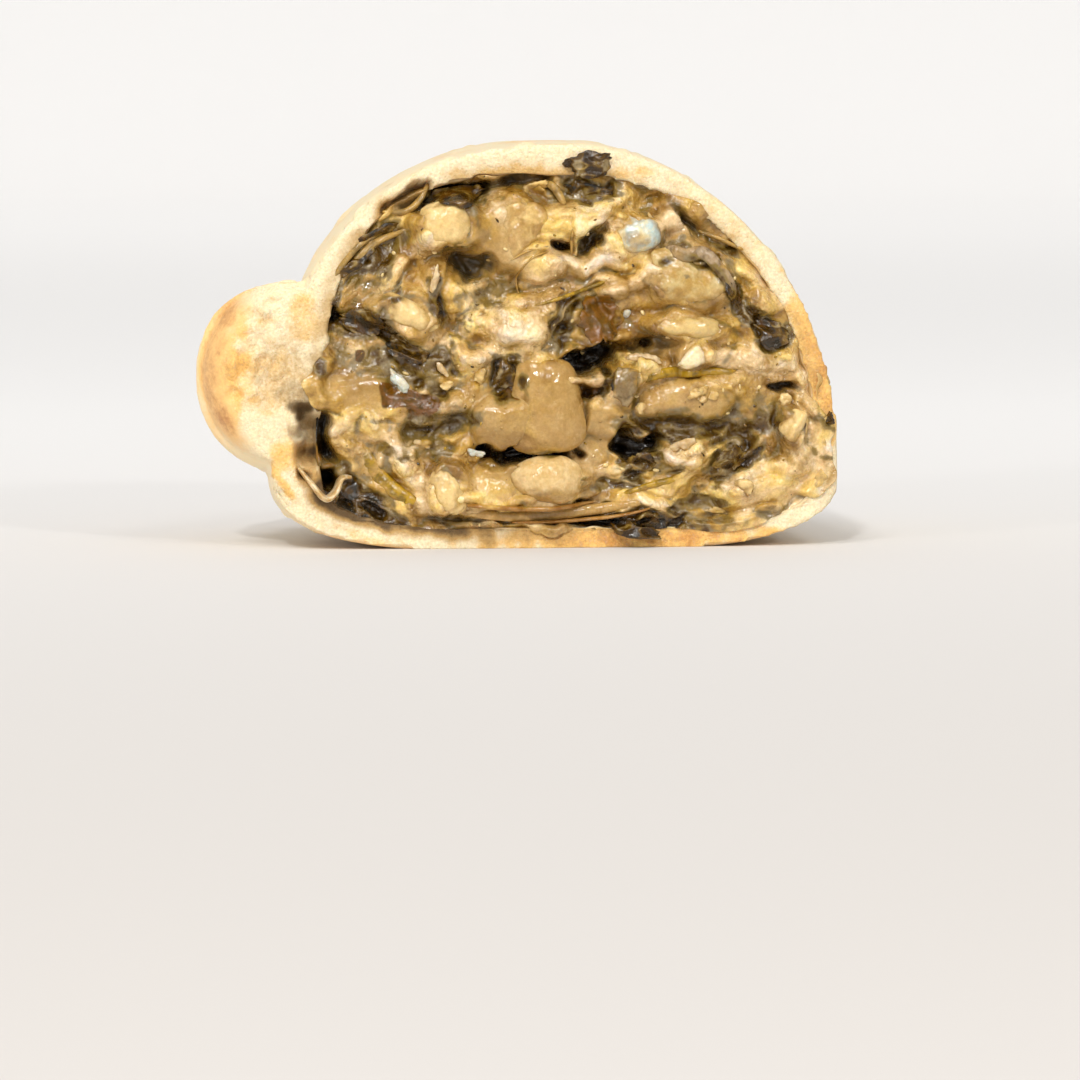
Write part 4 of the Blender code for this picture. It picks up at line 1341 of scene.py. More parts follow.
def fit_to_node(piece, node):
    """Fits a piece into the box of the solid that it replaces."""
    spots = mesh_spots(piece.data)
    low, high = spots.min(axis=0), spots.max(axis=0)
    middle, half = node_place(node)
    put_mesh_spots(piece.data, middle + (spots - (low + high) / 2) * (half * FIT_SHARE * 2 / (high - low)))


def smooth_route(route, steps):
    """Points on a smooth curve through a route, at steps from 0 to 1."""
    points = np.array(route, dtype=float)
    places = np.linspace(0.0, 1.0, len(points))
    padded = np.vstack((2 * points[0] - points[1], points, 2 * points[-1] - points[-2]))
    span = np.clip((steps * (len(points) - 1)).astype(int), 0, len(points) - 2)
    t = (steps - places[span]) * (len(points) - 1)
    p0, p1, p2, p3 = (padded[span + shift] for shift in range(4))
    t = t[:, None]
    bend, twist = 2 * p0 - 5 * p1 + 4 * p2 - p3, 3 * p1 - p0 - 3 * p2 + p3
    return 0.5 * (2 * p1 + (p2 - p0) * t + bend * t**2 + twist * t**3)


def strand_shape(row, seed):
    """A fibrous string along its route, which dives into the sauce at both ends."""
    steps = np.linspace(0.0, 1.0, STRAND_RINGS + 1)
    path = smooth_route(row.route, steps)
    way = np.gradient(path, axis=0)
    way /= np.linalg.norm(way, axis=1)[:, None]
    level = sauce_level(path[:, 0], path[:, 1])
    ease = np.sqrt(np.clip(np.sin(np.pi * steps), 0.0, 1.0))
    ahead = level + row.lift * ease - 0.5 * (1 - ease)
    lengths = np.concatenate(([0.0], np.cumsum(np.linalg.norm(np.diff(path, axis=0), axis=1))))

    def place(u, v):
        step = np.round(v * STRAND_RINGS).astype(int)
        angle = 2 * np.pi * u
        cap = np.where((step == 0) | (step == STRAND_RINGS), 0.0, 0.3 + 0.7 * ease[step])
        strands = np.stack((np.cos(angle) * 1.6, np.sin(angle) * 1.6, lengths[step] / 2.5), axis=1)
        fibre = 1 + 0.13 * ripple(strands, 1.0, seed)
        wide = row.half_wide * cap * fibre * np.cos(angle)
        deep = row.half_deep * cap * fibre * np.sin(angle)
        x = path[step, 0] - way[step, 1] * wide
        z = path[step, 1] + way[step, 0] * wide
        return np.stack((x, CUT_Y - ahead[step] + deep, z), axis=1)

    shape = wrapped_sheet(STRAND_POINTS, STRAND_RINGS, place)
    face = (corners_of(shape) / MM)[:, (0, 2)]
    nearest = np.argmin(np.linalg.norm(face[:, None] - path[None], axis=2), axis=1)
    off, ahead_of = face - path[nearest], way[nearest]
    keep_fibres(shape, lengths[nearest], off[:, 1] * ahead_of[:, 0] - off[:, 0] * ahead_of[:, 1])
    return shape


def scattered(count, seed, size_range, flat, fineness):
    """Small chips on the face of the filling, at random."""
    rng = np.random.default_rng(seed)
    parts = []
    while len(parts) < count:
        x, z = rng.uniform(CRIMP_SIDE_X, FOLD_SIDE_X), rng.uniform(0.0, BODY_HEIGHT)
        size = rng.uniform(*size_range)
        stretch, turn, number = rng.uniform(0.6, 1.5), rng.uniform(0, 180), rng.integers(1000)
        if section_share(x, z, 0.0, FILLING_SKIN) > CRUMB_EDGE:
            continue
        height = float(sauce_relief(np.array([x]), np.array([z])).height[0])
        half = (size * stretch, size * flat, size / stretch)
        look = Look(2.3, 6, 0.3, size * 1.2)
        middle = (x, CUT_Y - height - 0.3 * size * flat, z)
        parts.append(lump(middle, half, turn, look, int(number), fineness))
    return gathered(parts)


# ---- Materials ----

# The least and most roughness of a piece's surface.
WET = (0.08, 0.28)
DAMP = (0.35, 0.6)


class Board:
    """The nodes of one material or group, added with short calls."""

    def __init__(self, tree):
        self.tree = tree

    def add(self, kind, inputs=None, **settings):
        node = self.tree.nodes.new("ShaderNode" + kind)
        for name, value in settings.items():
            setattr(node, name, value)
        for key, value in (inputs or {}).items():
            self.feed(node.inputs[key], value)
        return node

    def feed(self, socket, value):
        if isinstance(value, bpy.types.NodeSocket):
            self.tree.links.new(value, socket)
        else:
            socket.default_value = value

    def maths(self, operation, first, second):
        return self.add("Math", {0: first, 1: second}, operation=operation).outputs[0]

    def plus(self, first, second):
        return self.maths("ADD", first, second)

    def minus(self, first, second):
        return self.maths("SUBTRACT", first, second)

    def times(self, first, second):
        return self.maths("MULTIPLY", first, second)

    def mix(self, share, low, high, blend="MIX"):
        return self.add("Mix", {0: share, 6: low, 7: high}, data_type="RGBA", blend_type=blend).outputs[2]

    def fade(self, value, low, high, start=0.0, end=1.0):
        """A smooth step from start to end as the value goes from low to high."""
        inputs = {"Value": value, "From Min": low, "From Max": high, "To Min": start, "To Max": end}
        return self.add("MapRange", inputs, interpolation_type="SMOOTHSTEP").outputs[0]

    def mask(self, name):
        return self.add("Attribute", attribute_name=name, attribute_type="GEOMETRY").outputs["Fac"]

    def millimetres(self):
        """Object coordinates in millimetres."""
        place = self.add("TexCoord").outputs["Object"]
        return self.add("VectorMath", {0: place, "Scale": 1000.0}, operation="SCALE").outputs[0]

    def clouds(self, vector, scale, detail, rough=0.5, distortion=0.0):
        inputs = {"Vector": vector, "Scale": scale, "Detail": detail, "Roughness": rough}
        return self.add("TexNoise", inputs | {"Distortion": distortion}).outputs[0]

    def cloud_colour(self, vector, scale):
        return self.add("TexNoise", {"Vector": vector, "Scale": scale, "Detail": 2.0}).outputs["Color"]

    def cells(self, vector, scale):
        return self.add("TexVoronoi", {"Vector": vector, "Scale": scale}).outputs["Distance"]

    def group(self, name, inputs=None):
        return self.add("Group", inputs, node_tree=bpy.data.node_groups[name]).outputs


def rgba(colour):
    return (*colour, 1.0)


def new_group(name, output, inputs):
    """A shader node group with one named output, and named inputs with their defaults."""
    tree = bpy.data.node_groups.new(name, "ShaderNodeTree")
    for label, default in inputs.items():
        kind = "NodeSocketFloat" if isinstance(default, float) else "NodeSocketColor"
        tree.interface.new_socket(name=label, in_out="INPUT", socket_type=kind).default_value = default
    kind = "NodeSocketFloat" if output == "Height" else "NodeSocketColor"
    tree.interface.new_socket(name=output, in_out="OUTPUT", socket_type=kind)
    return Board(tree), tree.nodes.new("NodeGroupInput").outputs, tree.nodes.new("NodeGroupOutput").inputs[0]


def build_groups():
    """The effects that several materials share."""
    if "Sauce Colour" in bpy.data.node_groups:
        return
    palette = colours()
    white = (1.0, 1.0, 1.0, 1.0)
    board, given, out = new_group("Fine Grain", "Colour", {"Beneath": white, "Strength": 1.0})
    grain = board.fade(board.clouds(board.millimetres(), 3.4, 4.0, 0.7), 0.34, 0.66)
    grain = board.mix(grain, (0.80, 0.76, 0.66, 1.0), (1.12, 1.12, 1.14, 1.0))
    grained = board.mix(1.0, given["Beneath"], grain, "MULTIPLY")
    board.feed(out, board.mix(given["Strength"], given["Beneath"], grained))

    inputs = {"Cream": rgba(palette.cream), "Tan": rgba(palette.tan), "Thin": rgba(palette.thin)}
    inputs |= {"Thickness": 0.0, "Smooth": 0.0}
    board, given, out = new_group("Sauce Colour", "Colour", inputs)
    place = board.millimetres()
    slow = board.clouds(place, 0.22, 3.0, 0.5, 0.8)
    quick = board.clouds(place, 0.8, 4.0, 0.55, 0.6)
    quick = board.minus(quick, board.times(board.minus(quick, 0.5), given["Smooth"]))
    level = board.plus(board.times(slow, 0.65), board.times(quick, 0.35))
    level = board.plus(level, given["Thickness"])
    colour = board.mix(board.fade(level, 0.36, 0.52), given["Thin"], given["Tan"])
    colour = board.mix(board.fade(level, 0.52, 0.7), colour, given["Cream"])
    colour = board.mix(board.fade(level, 0.7, 0.9), colour, (0.90, 0.74, 0.44, 1.0))
    tint = board.fade(board.clouds(place, 0.24, 3.0, 0.5, 0.5), 0.36, 0.64)
    tint = board.mix(tint, (1.03, 0.98, 0.62, 1.0), (0.98, 1.0, 1.3, 1.0))
    blush = board.fade(board.clouds(place, 0.9, 3.0, 0.5, 0.3), 0.52, 0.68)
    tint = board.mix(board.times(blush, 0.5), tint, (1.06, 0.97, 1.2, 1.0))
    colour = board.mix(1.0, colour, tint, "MULTIPLY")
    board.feed(out, board.group("Fine Grain", {"Beneath": colour, "Strength": 0.75})["Colour"])

    inputs = {"Beneath": white, "Leaf": 1.0, "Film": rgba(palette.leaf_film)}
    inputs |= {"Brown": rgba(palette.leaf_brown), "Black": rgba(palette.leaf)}
    board, given, out = new_group("Leaf Colour", "Colour", inputs)
    place = board.millimetres()
    veins = board.clouds(place, 0.75, 4.0, 0.55, 0.5)
    swing = board.times(board.minus(veins, 0.5), board.fade(given["Leaf"], 0.0, 0.35, 0.0, 1.5))
    level = board.plus(given["Leaf"], swing)
    greyish = board.fade(board.clouds(place, 0.5, 3.0, 0.5, 0.4), 0.45, 0.62, 0.0, 0.75)
    film = board.mix(greyish, given["Film"], (0.27, 0.21, 0.115, 1.0))
    colour = board.mix(board.fade(level, 0.1, 0.5), given["Beneath"], film)
    colour = board.mix(board.fade(level, 0.5, 0.85), colour, given["Brown"])
    blue = board.fade(board.clouds(place, 0.33, 2.0), 0.46, 0.6, 0.0, 0.8)
    black = board.mix(blue, given["Black"], (0.024, 0.022, 0.015, 1.0))
    colour = board.mix(board.fade(level, 0.85, 1.15), colour, black)
    board.feed(out, colour)

    board, given, out = new_group("Wet Relief", "Height", {"Size": 1.0, "Height": 0.1})
    place = board.millimetres()
    per_size = board.maths("DIVIDE", 1.0, given["Size"])
    coarse = board.clouds(place, per_size, 2.0, 0.5, 0.3)
    small = board.clouds(place, board.times(per_size, 3.1), 3.0, 0.55)
    whole = board.plus(board.times(coarse, 0.78), board.times(small, 0.24))
    board.feed(out, board.times(whole, given["Height"]))

    inputs = {"Beneath": white, "Speck": (0.05, 0.04, 0.02, 1.0), "Per Millimetre": 0.5, "Radius": 0.1}
    board, given, out = new_group("Tiny Specks", "Colour", inputs)
    place = board.millimetres()
    spread = board.cells(place, given["Per Millimetre"])
    ragged = board.plus(spread, board.times(board.clouds(place, 5.0, 2.0), 0.05))
    dot = board.maths("LESS_THAN", ragged, given["Radius"])
    board.feed(out, board.mix(dot, given["Beneath"], given["Speck"]))

    board, given, out = new_group("Sauce Coat", "Colour", {"Beneath": white, "Film": 0.25})
    sauce = board.group("Sauce Colour")["Colour"]
    patches = board.fade(board.clouds(board.millimetres(), 0.5, 3.0, 0.5, 0.4), 0.42, 0.68)
    share = board.maths("MAXIMUM", board.mask("coat"), board.times(patches, given["Film"]))
    board.feed(out, board.mix(share, given["Beneath"], sauce))


def new_material(name):
    build_groups()
    material = bpy.data.materials.new(name)
    material.use_nodes = True
    board = Board(material.node_tree)
    return material, board, material.node_tree.nodes["Principled BSDF"]


def settle(board, shader, colour, roughness, height=None):
    """Feeds a shader: colour, roughness and relief in millimetres."""
    board.feed(shader.inputs["Base Color"], colour)
    board.feed(shader.inputs["Roughness"], roughness)
    if height is not None:
        bump = board.add("Bump", {"Strength": 1.0, "Distance": MM, "Height": height})
        board.feed(shader.inputs["Normal"], bump.outputs[0])


def wet(shader, weight):
    """A thin clear film of moisture on top."""
    shader.inputs["Coat Weight"].default_value = weight
    shader.inputs["Coat Roughness"].default_value = 0.06
    shader.inputs["Coat IOR"].default_value = 1.4


def soft(shader, weight, scale):
    """Light that goes into soft food and comes out beside it. The scale is in millimetres."""
    shader.inputs["Subsurface Weight"].default_value = weight
    shader.inputs["Subsurface Radius"].default_value = (1.0, 0.6, 0.3)
    shader.inputs["Subsurface Scale"].default_value = scale * MM


def dough_material():
    material, board, shader = new_material("Baked Dough")
    palette = colours()
    place = board.millimetres()
    cut, inside, brown = board.mask("cut"), board.mask("inside"), board.mask("brown")
    mottle = board.clouds(place, 0.45, 4.0, 0.6, 0.5)
    fine = board.clouds(place, 2.4, 4.0, 0.65)
    swing = board.minus(board.plus(mottle, fine), 1.0)
    level = board.plus(brown, board.times(swing, 0.45))
    skin = board.mix(board.fade(level, 0.06, 0.7), rgba(palette.skin_pale), rgba(palette.skin_golden))
    skin = board.mix(board.fade(level, 0.62, 1.1), skin, rgba(palette.skin_brown))
    warmth = board.plus(board.mask("warm"), board.times(swing, 0.9))
    crumb = board.mix(board.fade(warmth, 0.2, 0.9), rgba(palette.crumb), rgba(palette.crumb_warm))
    crumb = board.mix(board.fade(warmth, 0.9, 1.5), crumb, (0.62, 0.28, 0.06, 1.0))
    crumb = board.mix(board.fade(fine, 0.5, 0.8, 0.0, 0.35), crumb, (1.0, 0.90, 0.70, 1.0))
    colour = board.mix(cut, skin, crumb)
    # Damp: dough soaked by the filling, with painted shade along the cut's inner edge and in the notch by the
    # crimp.
    damp = board.plus(board.maths("MAXIMUM", inside, board.mask("damp")), board.times(swing, 0.2))
    colour = board.mix(board.fade(damp, 0.15, 0.95), colour, rgba(palette.crumb_damp))
    colour = board.mix(board.fade(damp, 0.85, 1.45), colour, (0.14, 0.085, 0.033, 1.0))
    grains = board.fade(board.clouds(place, 3.6, 3.0, 0.6), 0.35, 0.65)
    grained = board.mix(grains, (0.86, 0.80, 0.70, 1.0), (1.07, 1.07, 1.08, 1.0))
    colour = board.mix(board.times(cut, 0.7), colour, board.mix(1.0, colour, grained, "MULTIPLY"))
    smear = board.plus(board.mask("smear"), board.times(swing, 0.5))
    colour = board.mix(board.fade(smear, 0.1, 1.0, 0.0, 0.95), colour, rgba(palette.smear))
    speck = {"Beneath": colour, "Speck": (0.10, 0.07, 0.03, 1), "Per Millimetre": 0.33, "Radius": 0.035}
    colour = board.group("Tiny Specks", speck)["Colour"]
    pores = board.fade(board.cells(place, 2.2), 0.0, 0.45)
    grain = board.clouds(place, 4.0, 4.0, 0.65)
    crumb_height = board.plus(board.times(pores, 0.07), board.times(grain, 0.16))
    waves = board.clouds(place, 1.6, 4.0, 0.6)
    skin_height = board.plus(board.times(waves, 0.06), board.times(grain, 0.02))
    crumb_height = board.times(cut, crumb_height)
    skin_height = board.times(board.minus(1.0, cut), skin_height)
    height = board.plus(crumb_height, skin_height)
    roughness = board.fade(board.plus(cut, board.times(mottle, 0.3)), 0.0, 1.0, 0.42, 0.78)
    settle(board, shader, colour, roughness, height)
    soft(shader, 0.25, 1.2)
    return material


def filling_material():
    material, board, shader = new_material("Creamy Filling")
    palette = colours()
    place = board.millimetres()
    fine = board.clouds(place, 1.3, 4.0, 0.58, 0.6)
    calm = board.mask("calm")
    lively = board.minus(1.0, board.times(calm, 0.85))
    wobble = board.times(board.minus(fine, 0.5), board.times(lively, 0.8))
    streak = board.times(board.mask("streak"), board.times(lively, 0.3))
    # Painted light and shade, with thicker sauce on top: raised places are paler and less leafy, dips darker.
    rise = board.mask("rise")
    cream = board.plus(board.mask("cream"), board.plus(wobble, streak))
    thickness = board.fade(cream, 0.0, 0.9, -0.02, 0.2)
    thickness = board.plus(thickness, board.times(rise, 0.12))
    colour = board.group("Sauce Colour", {"Thickness": thickness, "Smooth": calm})["Colour"]
    onion = board.mix(board.fade(fine, 0.35, 0.65), rgba(palette.onion), (0.53, 0.345, 0.12, 1.0))
    onion = board.group("Fine Grain", {"Beneath": onion, "Strength": 0.45})["Colour"]
    colour = board.mix(board.fade(calm, 0.5, 1.0, 0.0, 0.5), colour, onion)
    # The grey mask paints leaf colour over thin sauce, and also painted shade under pieces and in creases.
    leaf = board.maths("MAXIMUM", board.mask("leaf"), board.times(board.mask("grey"), 0.42))
    leaf = board.minus(board.plus(leaf, streak), board.times(rise, 0.12))
    colour = board.group("Leaf Colour", {"Beneath": colour, "Leaf": leaf})["Colour"]
    amber = board.plus(board.mask("amber"), wobble)
    clear = board.mix(board.fade(fine, 0.4, 0.62), rgba(palette.leaf_brown), rgba(palette.amber))
    colour = board.mix(board.fade(amber, 0.3, 0.65), colour, clear)
    # Painted shade: the hollows are painted near black.
    colour = board.mix(board.mask("shade"), colour, (0.012, 0.007, 0.003, 1.0))
    speck = {"Beneath": colour, "Speck": (0.06, 0.05, 0.015, 1), "Per Millimetre": 0.45, "Radius": 0.06}
    colour = board.group("Tiny Specks", speck)["Colour"]
    relief = board.fade(calm, 0.0, 1.0, 0.2, 0.07)
    height = board.group("Wet Relief", {"Size": 0.9, "Height": relief})["Height"]
    bent = board.add("VectorMath", {0: place, 1: board.cloud_colour(place, 0.9)}, operation="ADD").outputs[0]
    grains = board.fade(board.cells(bent, 1.9), 0.15, 0.6)
    grainy = board.times(lively, board.fade(board.clouds(place, 0.35, 2.0), 0.45, 0.6))
    between = board.times(grains, grainy)
    height = board.minus(height, board.times(between, 0.09))
    # Painted shade: the sauce is darker in the crevices between the grains.
    crevice_shade = board.mix(1.0, colour, (0.62, 0.52, 0.36, 1.0), "MULTIPLY")
    colour = board.mix(board.times(between, 0.35), colour, crevice_shade)
    roughness = board.fade(board.clouds(place, 0.8, 3.0), 0.3, 0.7, 0.1, 0.3)
    settle(board, shader, colour, roughness, height)
    wet(shader, 0.6)
    soft(shader, 0.2, 0.9)
    return material


def piece_material(name, base, second, film, relief_size, relief, rough, sub, fibres=0.0):
    """A wet piece of food: two colours in patches, under a film of sauce, with fibres across it.

    Film is how much sauce is on it, rough the least and most roughness, and sub how far light goes into it.
    """
    material, board, shader = new_material(name)
    place = board.millimetres()
    patches = board.fade(board.clouds(place, 0.8, 4.0, 0.6, 0.4), 0.38, 0.66)
    colour = board.mix(patches, rgba(base), rgba(second))
    colour = board.group("Fine Grain", {"Beneath": colour, "Strength": 0.45})["Colour"]
    height = board.group("Wet Relief", {"Size": relief_size, "Height": relief})["Height"]
    if fibres:
        slow, quick = board.times(board.mask("across"), 0.1), board.times(board.mask("along"), 2.2)
        lines = board.clouds(board.add("CombineXYZ", {0: slow, 1: quick}).outputs[0], 1.0, 3.0, 0.6)
        colour = board.mix(board.fade(lines, 0.35, 0.7, 0.0, 0.22), colour, rgba([c * 0.75 for c in base]))
        height = board.plus(height, board.times(lines, fibres))
    coated = board.group("Sauce Coat", {"Beneath": colour, "Film": film})["Colour"]
    coated = board.group("Leaf Colour", {"Beneath": coated, "Leaf": board.mask("dark")})["Colour"]
    roughness = board.fade(board.clouds(place, 1.1, 3.0), 0.3, 0.7, *rough)
    settle(board, shader, coated, roughness, height)
    wet(shader, 0.3)
    soft(shader, sub, 1.0)
    return material


def leaf_material(name, amount, film):
    """A wet cooked leaf, dark to brown, under a streaked film of sauce. The amount is how dark."""
    material, board, shader = new_material(name)
    palette = colours()
    place = board.millimetres()
    sauce = board.group("Sauce Colour")["Colour"]
    soft_patches = board.fade(board.clouds(place, 0.55, 3.0, 0.5, 0.4), 0.42, 0.66)
    bare = board.times(board.mask("bare"), amount)
    bare = board.minus(bare, board.times(board.mask("coat"), 0.5))
    bare = board.minus(bare, board.times(soft_patches, film))
    colour = board.group("Leaf Colour", {"Beneath": sauce, "Leaf": bare})["Colour"]
    amber = board.fade(board.clouds(place, 0.35, 3.0, 0.5), 0.56, 0.7, 0.0, 0.4)
    colour = board.mix(amber, colour, rgba(palette.amber))
    height = board.group("Wet Relief", {"Size": 0.8, "Height": 0.16})["Height"]
    roughness = board.fade(board.clouds(place, 1.3, 3.0), 0.3, 0.7, 0.08, 0.3)
    settle(board, shader, colour, roughness, height)
    return material


def floor_material():
    material, board, shader = new_material("Pale Floor")
    back = board.add("SeparateXYZ", {0: board.add("TexCoord").outputs["Object"]}).outputs[1]
    # Painted falloff of light: the floor is darker near the camera and paler behind.
    colour = board.mix(board.fade(back, -0.35, 0.3), rgba(colours().floor), rgba(colours().backdrop))
    settle(board, shader, colour, 0.85)
    return material


# ---- Operators ----


class Step:
    """What the operators share."""

    bl_options = {"REGISTER", "UNDO"}


class EMPANADA_OT_dough(Step, bpy.types.Operator):
    """Add the baked dough shell with its rope crimp"""

    bl_idname = "empanada.add_dough"
    bl_label = "Add Dough"

    def execute(self, context):
        shell = dough_blank()
        refine_near_cut(shell, REFINED)
        shape_dough(shell)
        finish(shell, dough_material(), ("crust",))
        return {"FINISHED"}


class EMPANADA_OT_filling(Step, bpy.types.Operator):
    """Add the creamy filling, with folded leaves just under its surface"""

    bl_idname = "empanada.add_filling"
    bl_label = "Add Filling"

    def execute(self, context):
        finish(filling_core(), filling_material(), ("filling",))
        return {"FINISHED"}


def bean_foot(middle, half):
    """The flatter curd that lies behind the left end of the bean."""
    place = middle + half * (-0.74, 0.35, -0.2)
    return lump(place, half * (0.42, 0.6, 0.72), 0, Look(3.0, 4, 0.12, 2.0), 97, 4)


class EMPANADA_OT_large_pieces(Step, bpy.types.Operator):
    """Add the large pieces of onion, cheese and egg in the cut face"""

    bl_idname = "empanada.add_large_pieces"
    bl_label = "Add Large Pieces"

    def execute(self, context):
        palette = colours()
        onion, curd, tan, cream, egg = palette.onion, palette.curd, palette.tan, palette.cream, palette.egg
        finishes = {
            "onion": ("Cooked Onion", onion, (0.53, 0.335, 0.115), 0.4, 1.6, 0.06, WET, 0.3, 0.02),
            "slab": ("Soft Onion", onion, cream, 0.6, 1.4, 0.08, WET, 0.3),
            "pale": ("Pale Curd", (0.78, 0.57, 0.28), (0.66, 0.44, 0.17), 0.4, 0.8, 0.1, WET, 0.3),
            "roll": ("Onion Roll", (0.72, 0.52, 0.20), (0.62, 0.46, 0.20), 0.15, 1.8, 0.05, WET, 0.35),
            "cheese": ("Soft Curd", curd, cream, 0.4, 0.8, 0.12, WET, 0.25),
            "herb": ("Herb Curd", tan, (0.62, 0.48, 0.22), 0.5, 0.9, 0.2, WET, 0.2),
            "egg": ("Egg Cube", egg, (0.78, 0.70, 0.44), 0.7, 1.2, 0.06, WET, 0.3),
            "white": ("White Curd", (0.90, 0.80, 0.58), (0.86, 0.70, 0.42), 0.1, 1.0, 0.08, WET, 0.3),
        }
        looks = {kind: piece_material(*values) for kind, values in finishes.items()}
        for seed, row in enumerate(LARGE_PIECES):
            middle, half = node_place(row.node)
            sides = (row.half_long, half[1], row.half_wide)
            shape = lump(middle, sides, row.turn, row.look, 40 + 3 * seed, 5)
            if row.node == "cheese_bean":
                bmesh.ops.translate(shape, verts=shape.verts, vec=(0.26 * half[0] * MM, 0, 0))
                shape = gathered((shape, bean_foot(middle, half)))
            piece = new_object(row.name, shape)
            fit_to_node(piece, row.node)
            coat(piece, 0.5, 0.5)
            finish(piece, looks[row.kind], (row.node,))
        return {"FINISHED"}


class EMPANADA_OT_leaves(Step, bpy.types.Operator):
    """Add the dark crumpled leaves"""

    bl_idname = "empanada.add_leaves"
    bl_label = "Add Leaves"

    def execute(self, context):
        palette = colours()
        dark = leaf_material("Dark Leaf", 1.2, 0.55)
        clear = (0.20, 0.075, 0.004)
        brown = palette.leaf_brown
        amber = piece_material("Clear Brown Leaf", clear, brown, 0.1, 0.7, 0.12, (0.08, 0.25), 0.1)
        sheets = [crumpled_leaf(spot, 70 + 5 * number) for number, spot in enumerate(LEAF_SHEETS)]
        leaves = new_object("dark_leaves", gathered(sheets))
        coat(leaves, 0.3, 0.5)
        finish(leaves, dark)
        flaps = [crumpled_leaf(spot, 301 + 6 * number, 0.7) for number, spot in enumerate(DOUGH_FLAPS)]
        flap = new_object("dough_flaps", gathered(flaps))
        coat(flap, 0.1, 0.3)
        damp, warm = palette.crumb_damp, palette.crumb_warm
        finish(flap, piece_material("Damp Dough Flap", damp, warm, 0.3, 0.8, 0.12, DAMP, 0.25))
        large = (("wet_leaf", "brown_leaf", amber, -40), ("rim_leaf", "torn_leaf", dark, 6))
        for node, name, material, turn in large:
            middle, half = node_place(node)
            spot = Spot(name, middle[0], middle[2], half[0], half[2], turn, 0.6)
            piece = new_object(name, crumpled_leaf(spot, 200 + turn))
            fit_to_node(piece, node)
            coat(piece, 0.3, 0.5)
            finish(piece, material, (node,))
        return {"FINISHED"}


class EMPANADA_OT_strands(Step, bpy.types.Operator):
    """Add the stems, onion skins, leaf ridge, curl of dough and strings of sauce"""

    bl_idname = "empanada.add_strands"
    bl_label = "Add Strands"

    def execute(self, context):
        palette = colours()
        skin, skin_pale = ((0.30, 0.13, 0.018), (0.44, 0.22, 0.045)), ((0.46, 0.27, 0.07), (0.58, 0.37, 0.13))
        finishes = {
            "stem": ("Leaf Stem", palette.stem, (0.15, 0.09, 0.004), 0.12, 0.8, 0.06, WET, 0.15, 0.12),
            "skin": ("Onion Skin", *skin, 0.25, 0.8, 0.08, WET, 0.15, 0.08),
            "skin_pale": ("Onion Band", *skin_pale, 0.6, 0.8, 0.06, WET, 0.25, 0.05),
            "ridge": ("Leaf Ridge", (0.42, 0.30, 0.17), (0.16, 0.10, 0.04), 0.5, 0.7, 0.16, WET, 0.15),
            "dough": ("Damp Dough", palette.crumb_damp, palette.crumb, 0.2, 0.8, 0.12, DAMP, 0.25),
            "film": ("Sauce String", palette.tan, palette.grey, 0.3, 0.8, 0.08, WET, 0.2),
        }
        for kind, values in finishes.items():
            material = piece_material(*values)
            rows = [(number, row) for number, row in enumerate(STRANDS) if row.kind == kind]
            name, slot = STRAND_PIECES[kind]
            piece = new_object(name, gathered(strand_shape(row, 120 + 3 * number) for number, row in rows))
            coat(piece, 0.25 if kind == "stem" else 0.45, 0.5)
            finish(piece, material)
        return {"FINISHED"}


def curds(table, seed, wobble=0.34, depth=0.9):
    """The small lumps of a table, each partly in the sauce. The depth is a share of the smaller half size."""
    parts = []
    for number, spot in enumerate(table):
        level = float(sauce_level(spot.x, spot.z)[0])
        deep = depth * min(spot.half_long, spot.half_wide)
        middle = (spot.x, CUT_Y - level - 0.05 * deep, spot.z)
        look = Look(spot.amount, 12, wobble, 0.8, 0.3 * wobble)
        half = (spot.half_long, deep, spot.half_wide)
        parts.append(lump(middle, half, spot.turn, look, seed + 3 * number, 4))
    return gathered(parts)


class EMPANADA_OT_crumbs(Step, bpy.types.Operator):
    """Add the small curds, egg chips, onion slivers, clear onion, crumbs and herb specks"""

    bl_idname = "empanada.add_crumbs"
    bl_label = "Add Crumbs"

    def execute(self, context):
        palette = colours()
        pale, tan = (0.74, 0.57, 0.34), (0.58, 0.41, 0.21)
        grey, clear = (0.20, 0.125, 0.045), (0.33, 0.245, 0.12)
        blue, white = (0.62, 0.68, 0.62), (0.78, 0.72, 0.56)
        curd = piece_material("Curd Crumb", palette.curd, palette.cream, 0.3, 0.6, 0.14, WET, 0.2)
        herb = piece_material("Herb Speck", palette.leaf, palette.stem, 0.1, 0.6, 0.1, WET, 0.0)
        sliver = piece_material("Onion Sliver", pale, tan, 0.6, 1.0, 0.06, WET, 0.3)
        lens = piece_material("Clear Onion", grey, clear, 0.65, 1.2, 0.05, (0.04, 0.15), 0.3)
        egg = piece_material("Egg White", blue, white, 0.35, 1.2, 0.08, WET, 0.3)
        for name, shape, material, slot, cover in (
            ("small_curds", curds(LOOSE_CURDS, 150), curd, "cheese", 0.9),
            ("egg_chips", curds(EGG_CHIPS, 190), egg, "egg", 0.3),
            ("onion_slivers", curds(ONION_SLIVERS, 230), sliver, "onion", 0.7),
            ("grey_lens", curds(GREY_LENS, 280, 0.3, 0.6), lens, "onion", 0.6),
            ("curd_crumbs", scattered(sizes().crumb_count, 5, (0.1, 0.28), 0.8, 2), curd, "cheese", 0.2),
            ("herb_specks", scattered(sizes().speck_count, 6, (0.06, 0.2), 0.4, 1), herb, "leaf", 0.02),
        ):
            piece = new_object(name, shape)
            coat(piece, cover, 0.4)
            finish(piece, material)
        return {"FINISHED"}


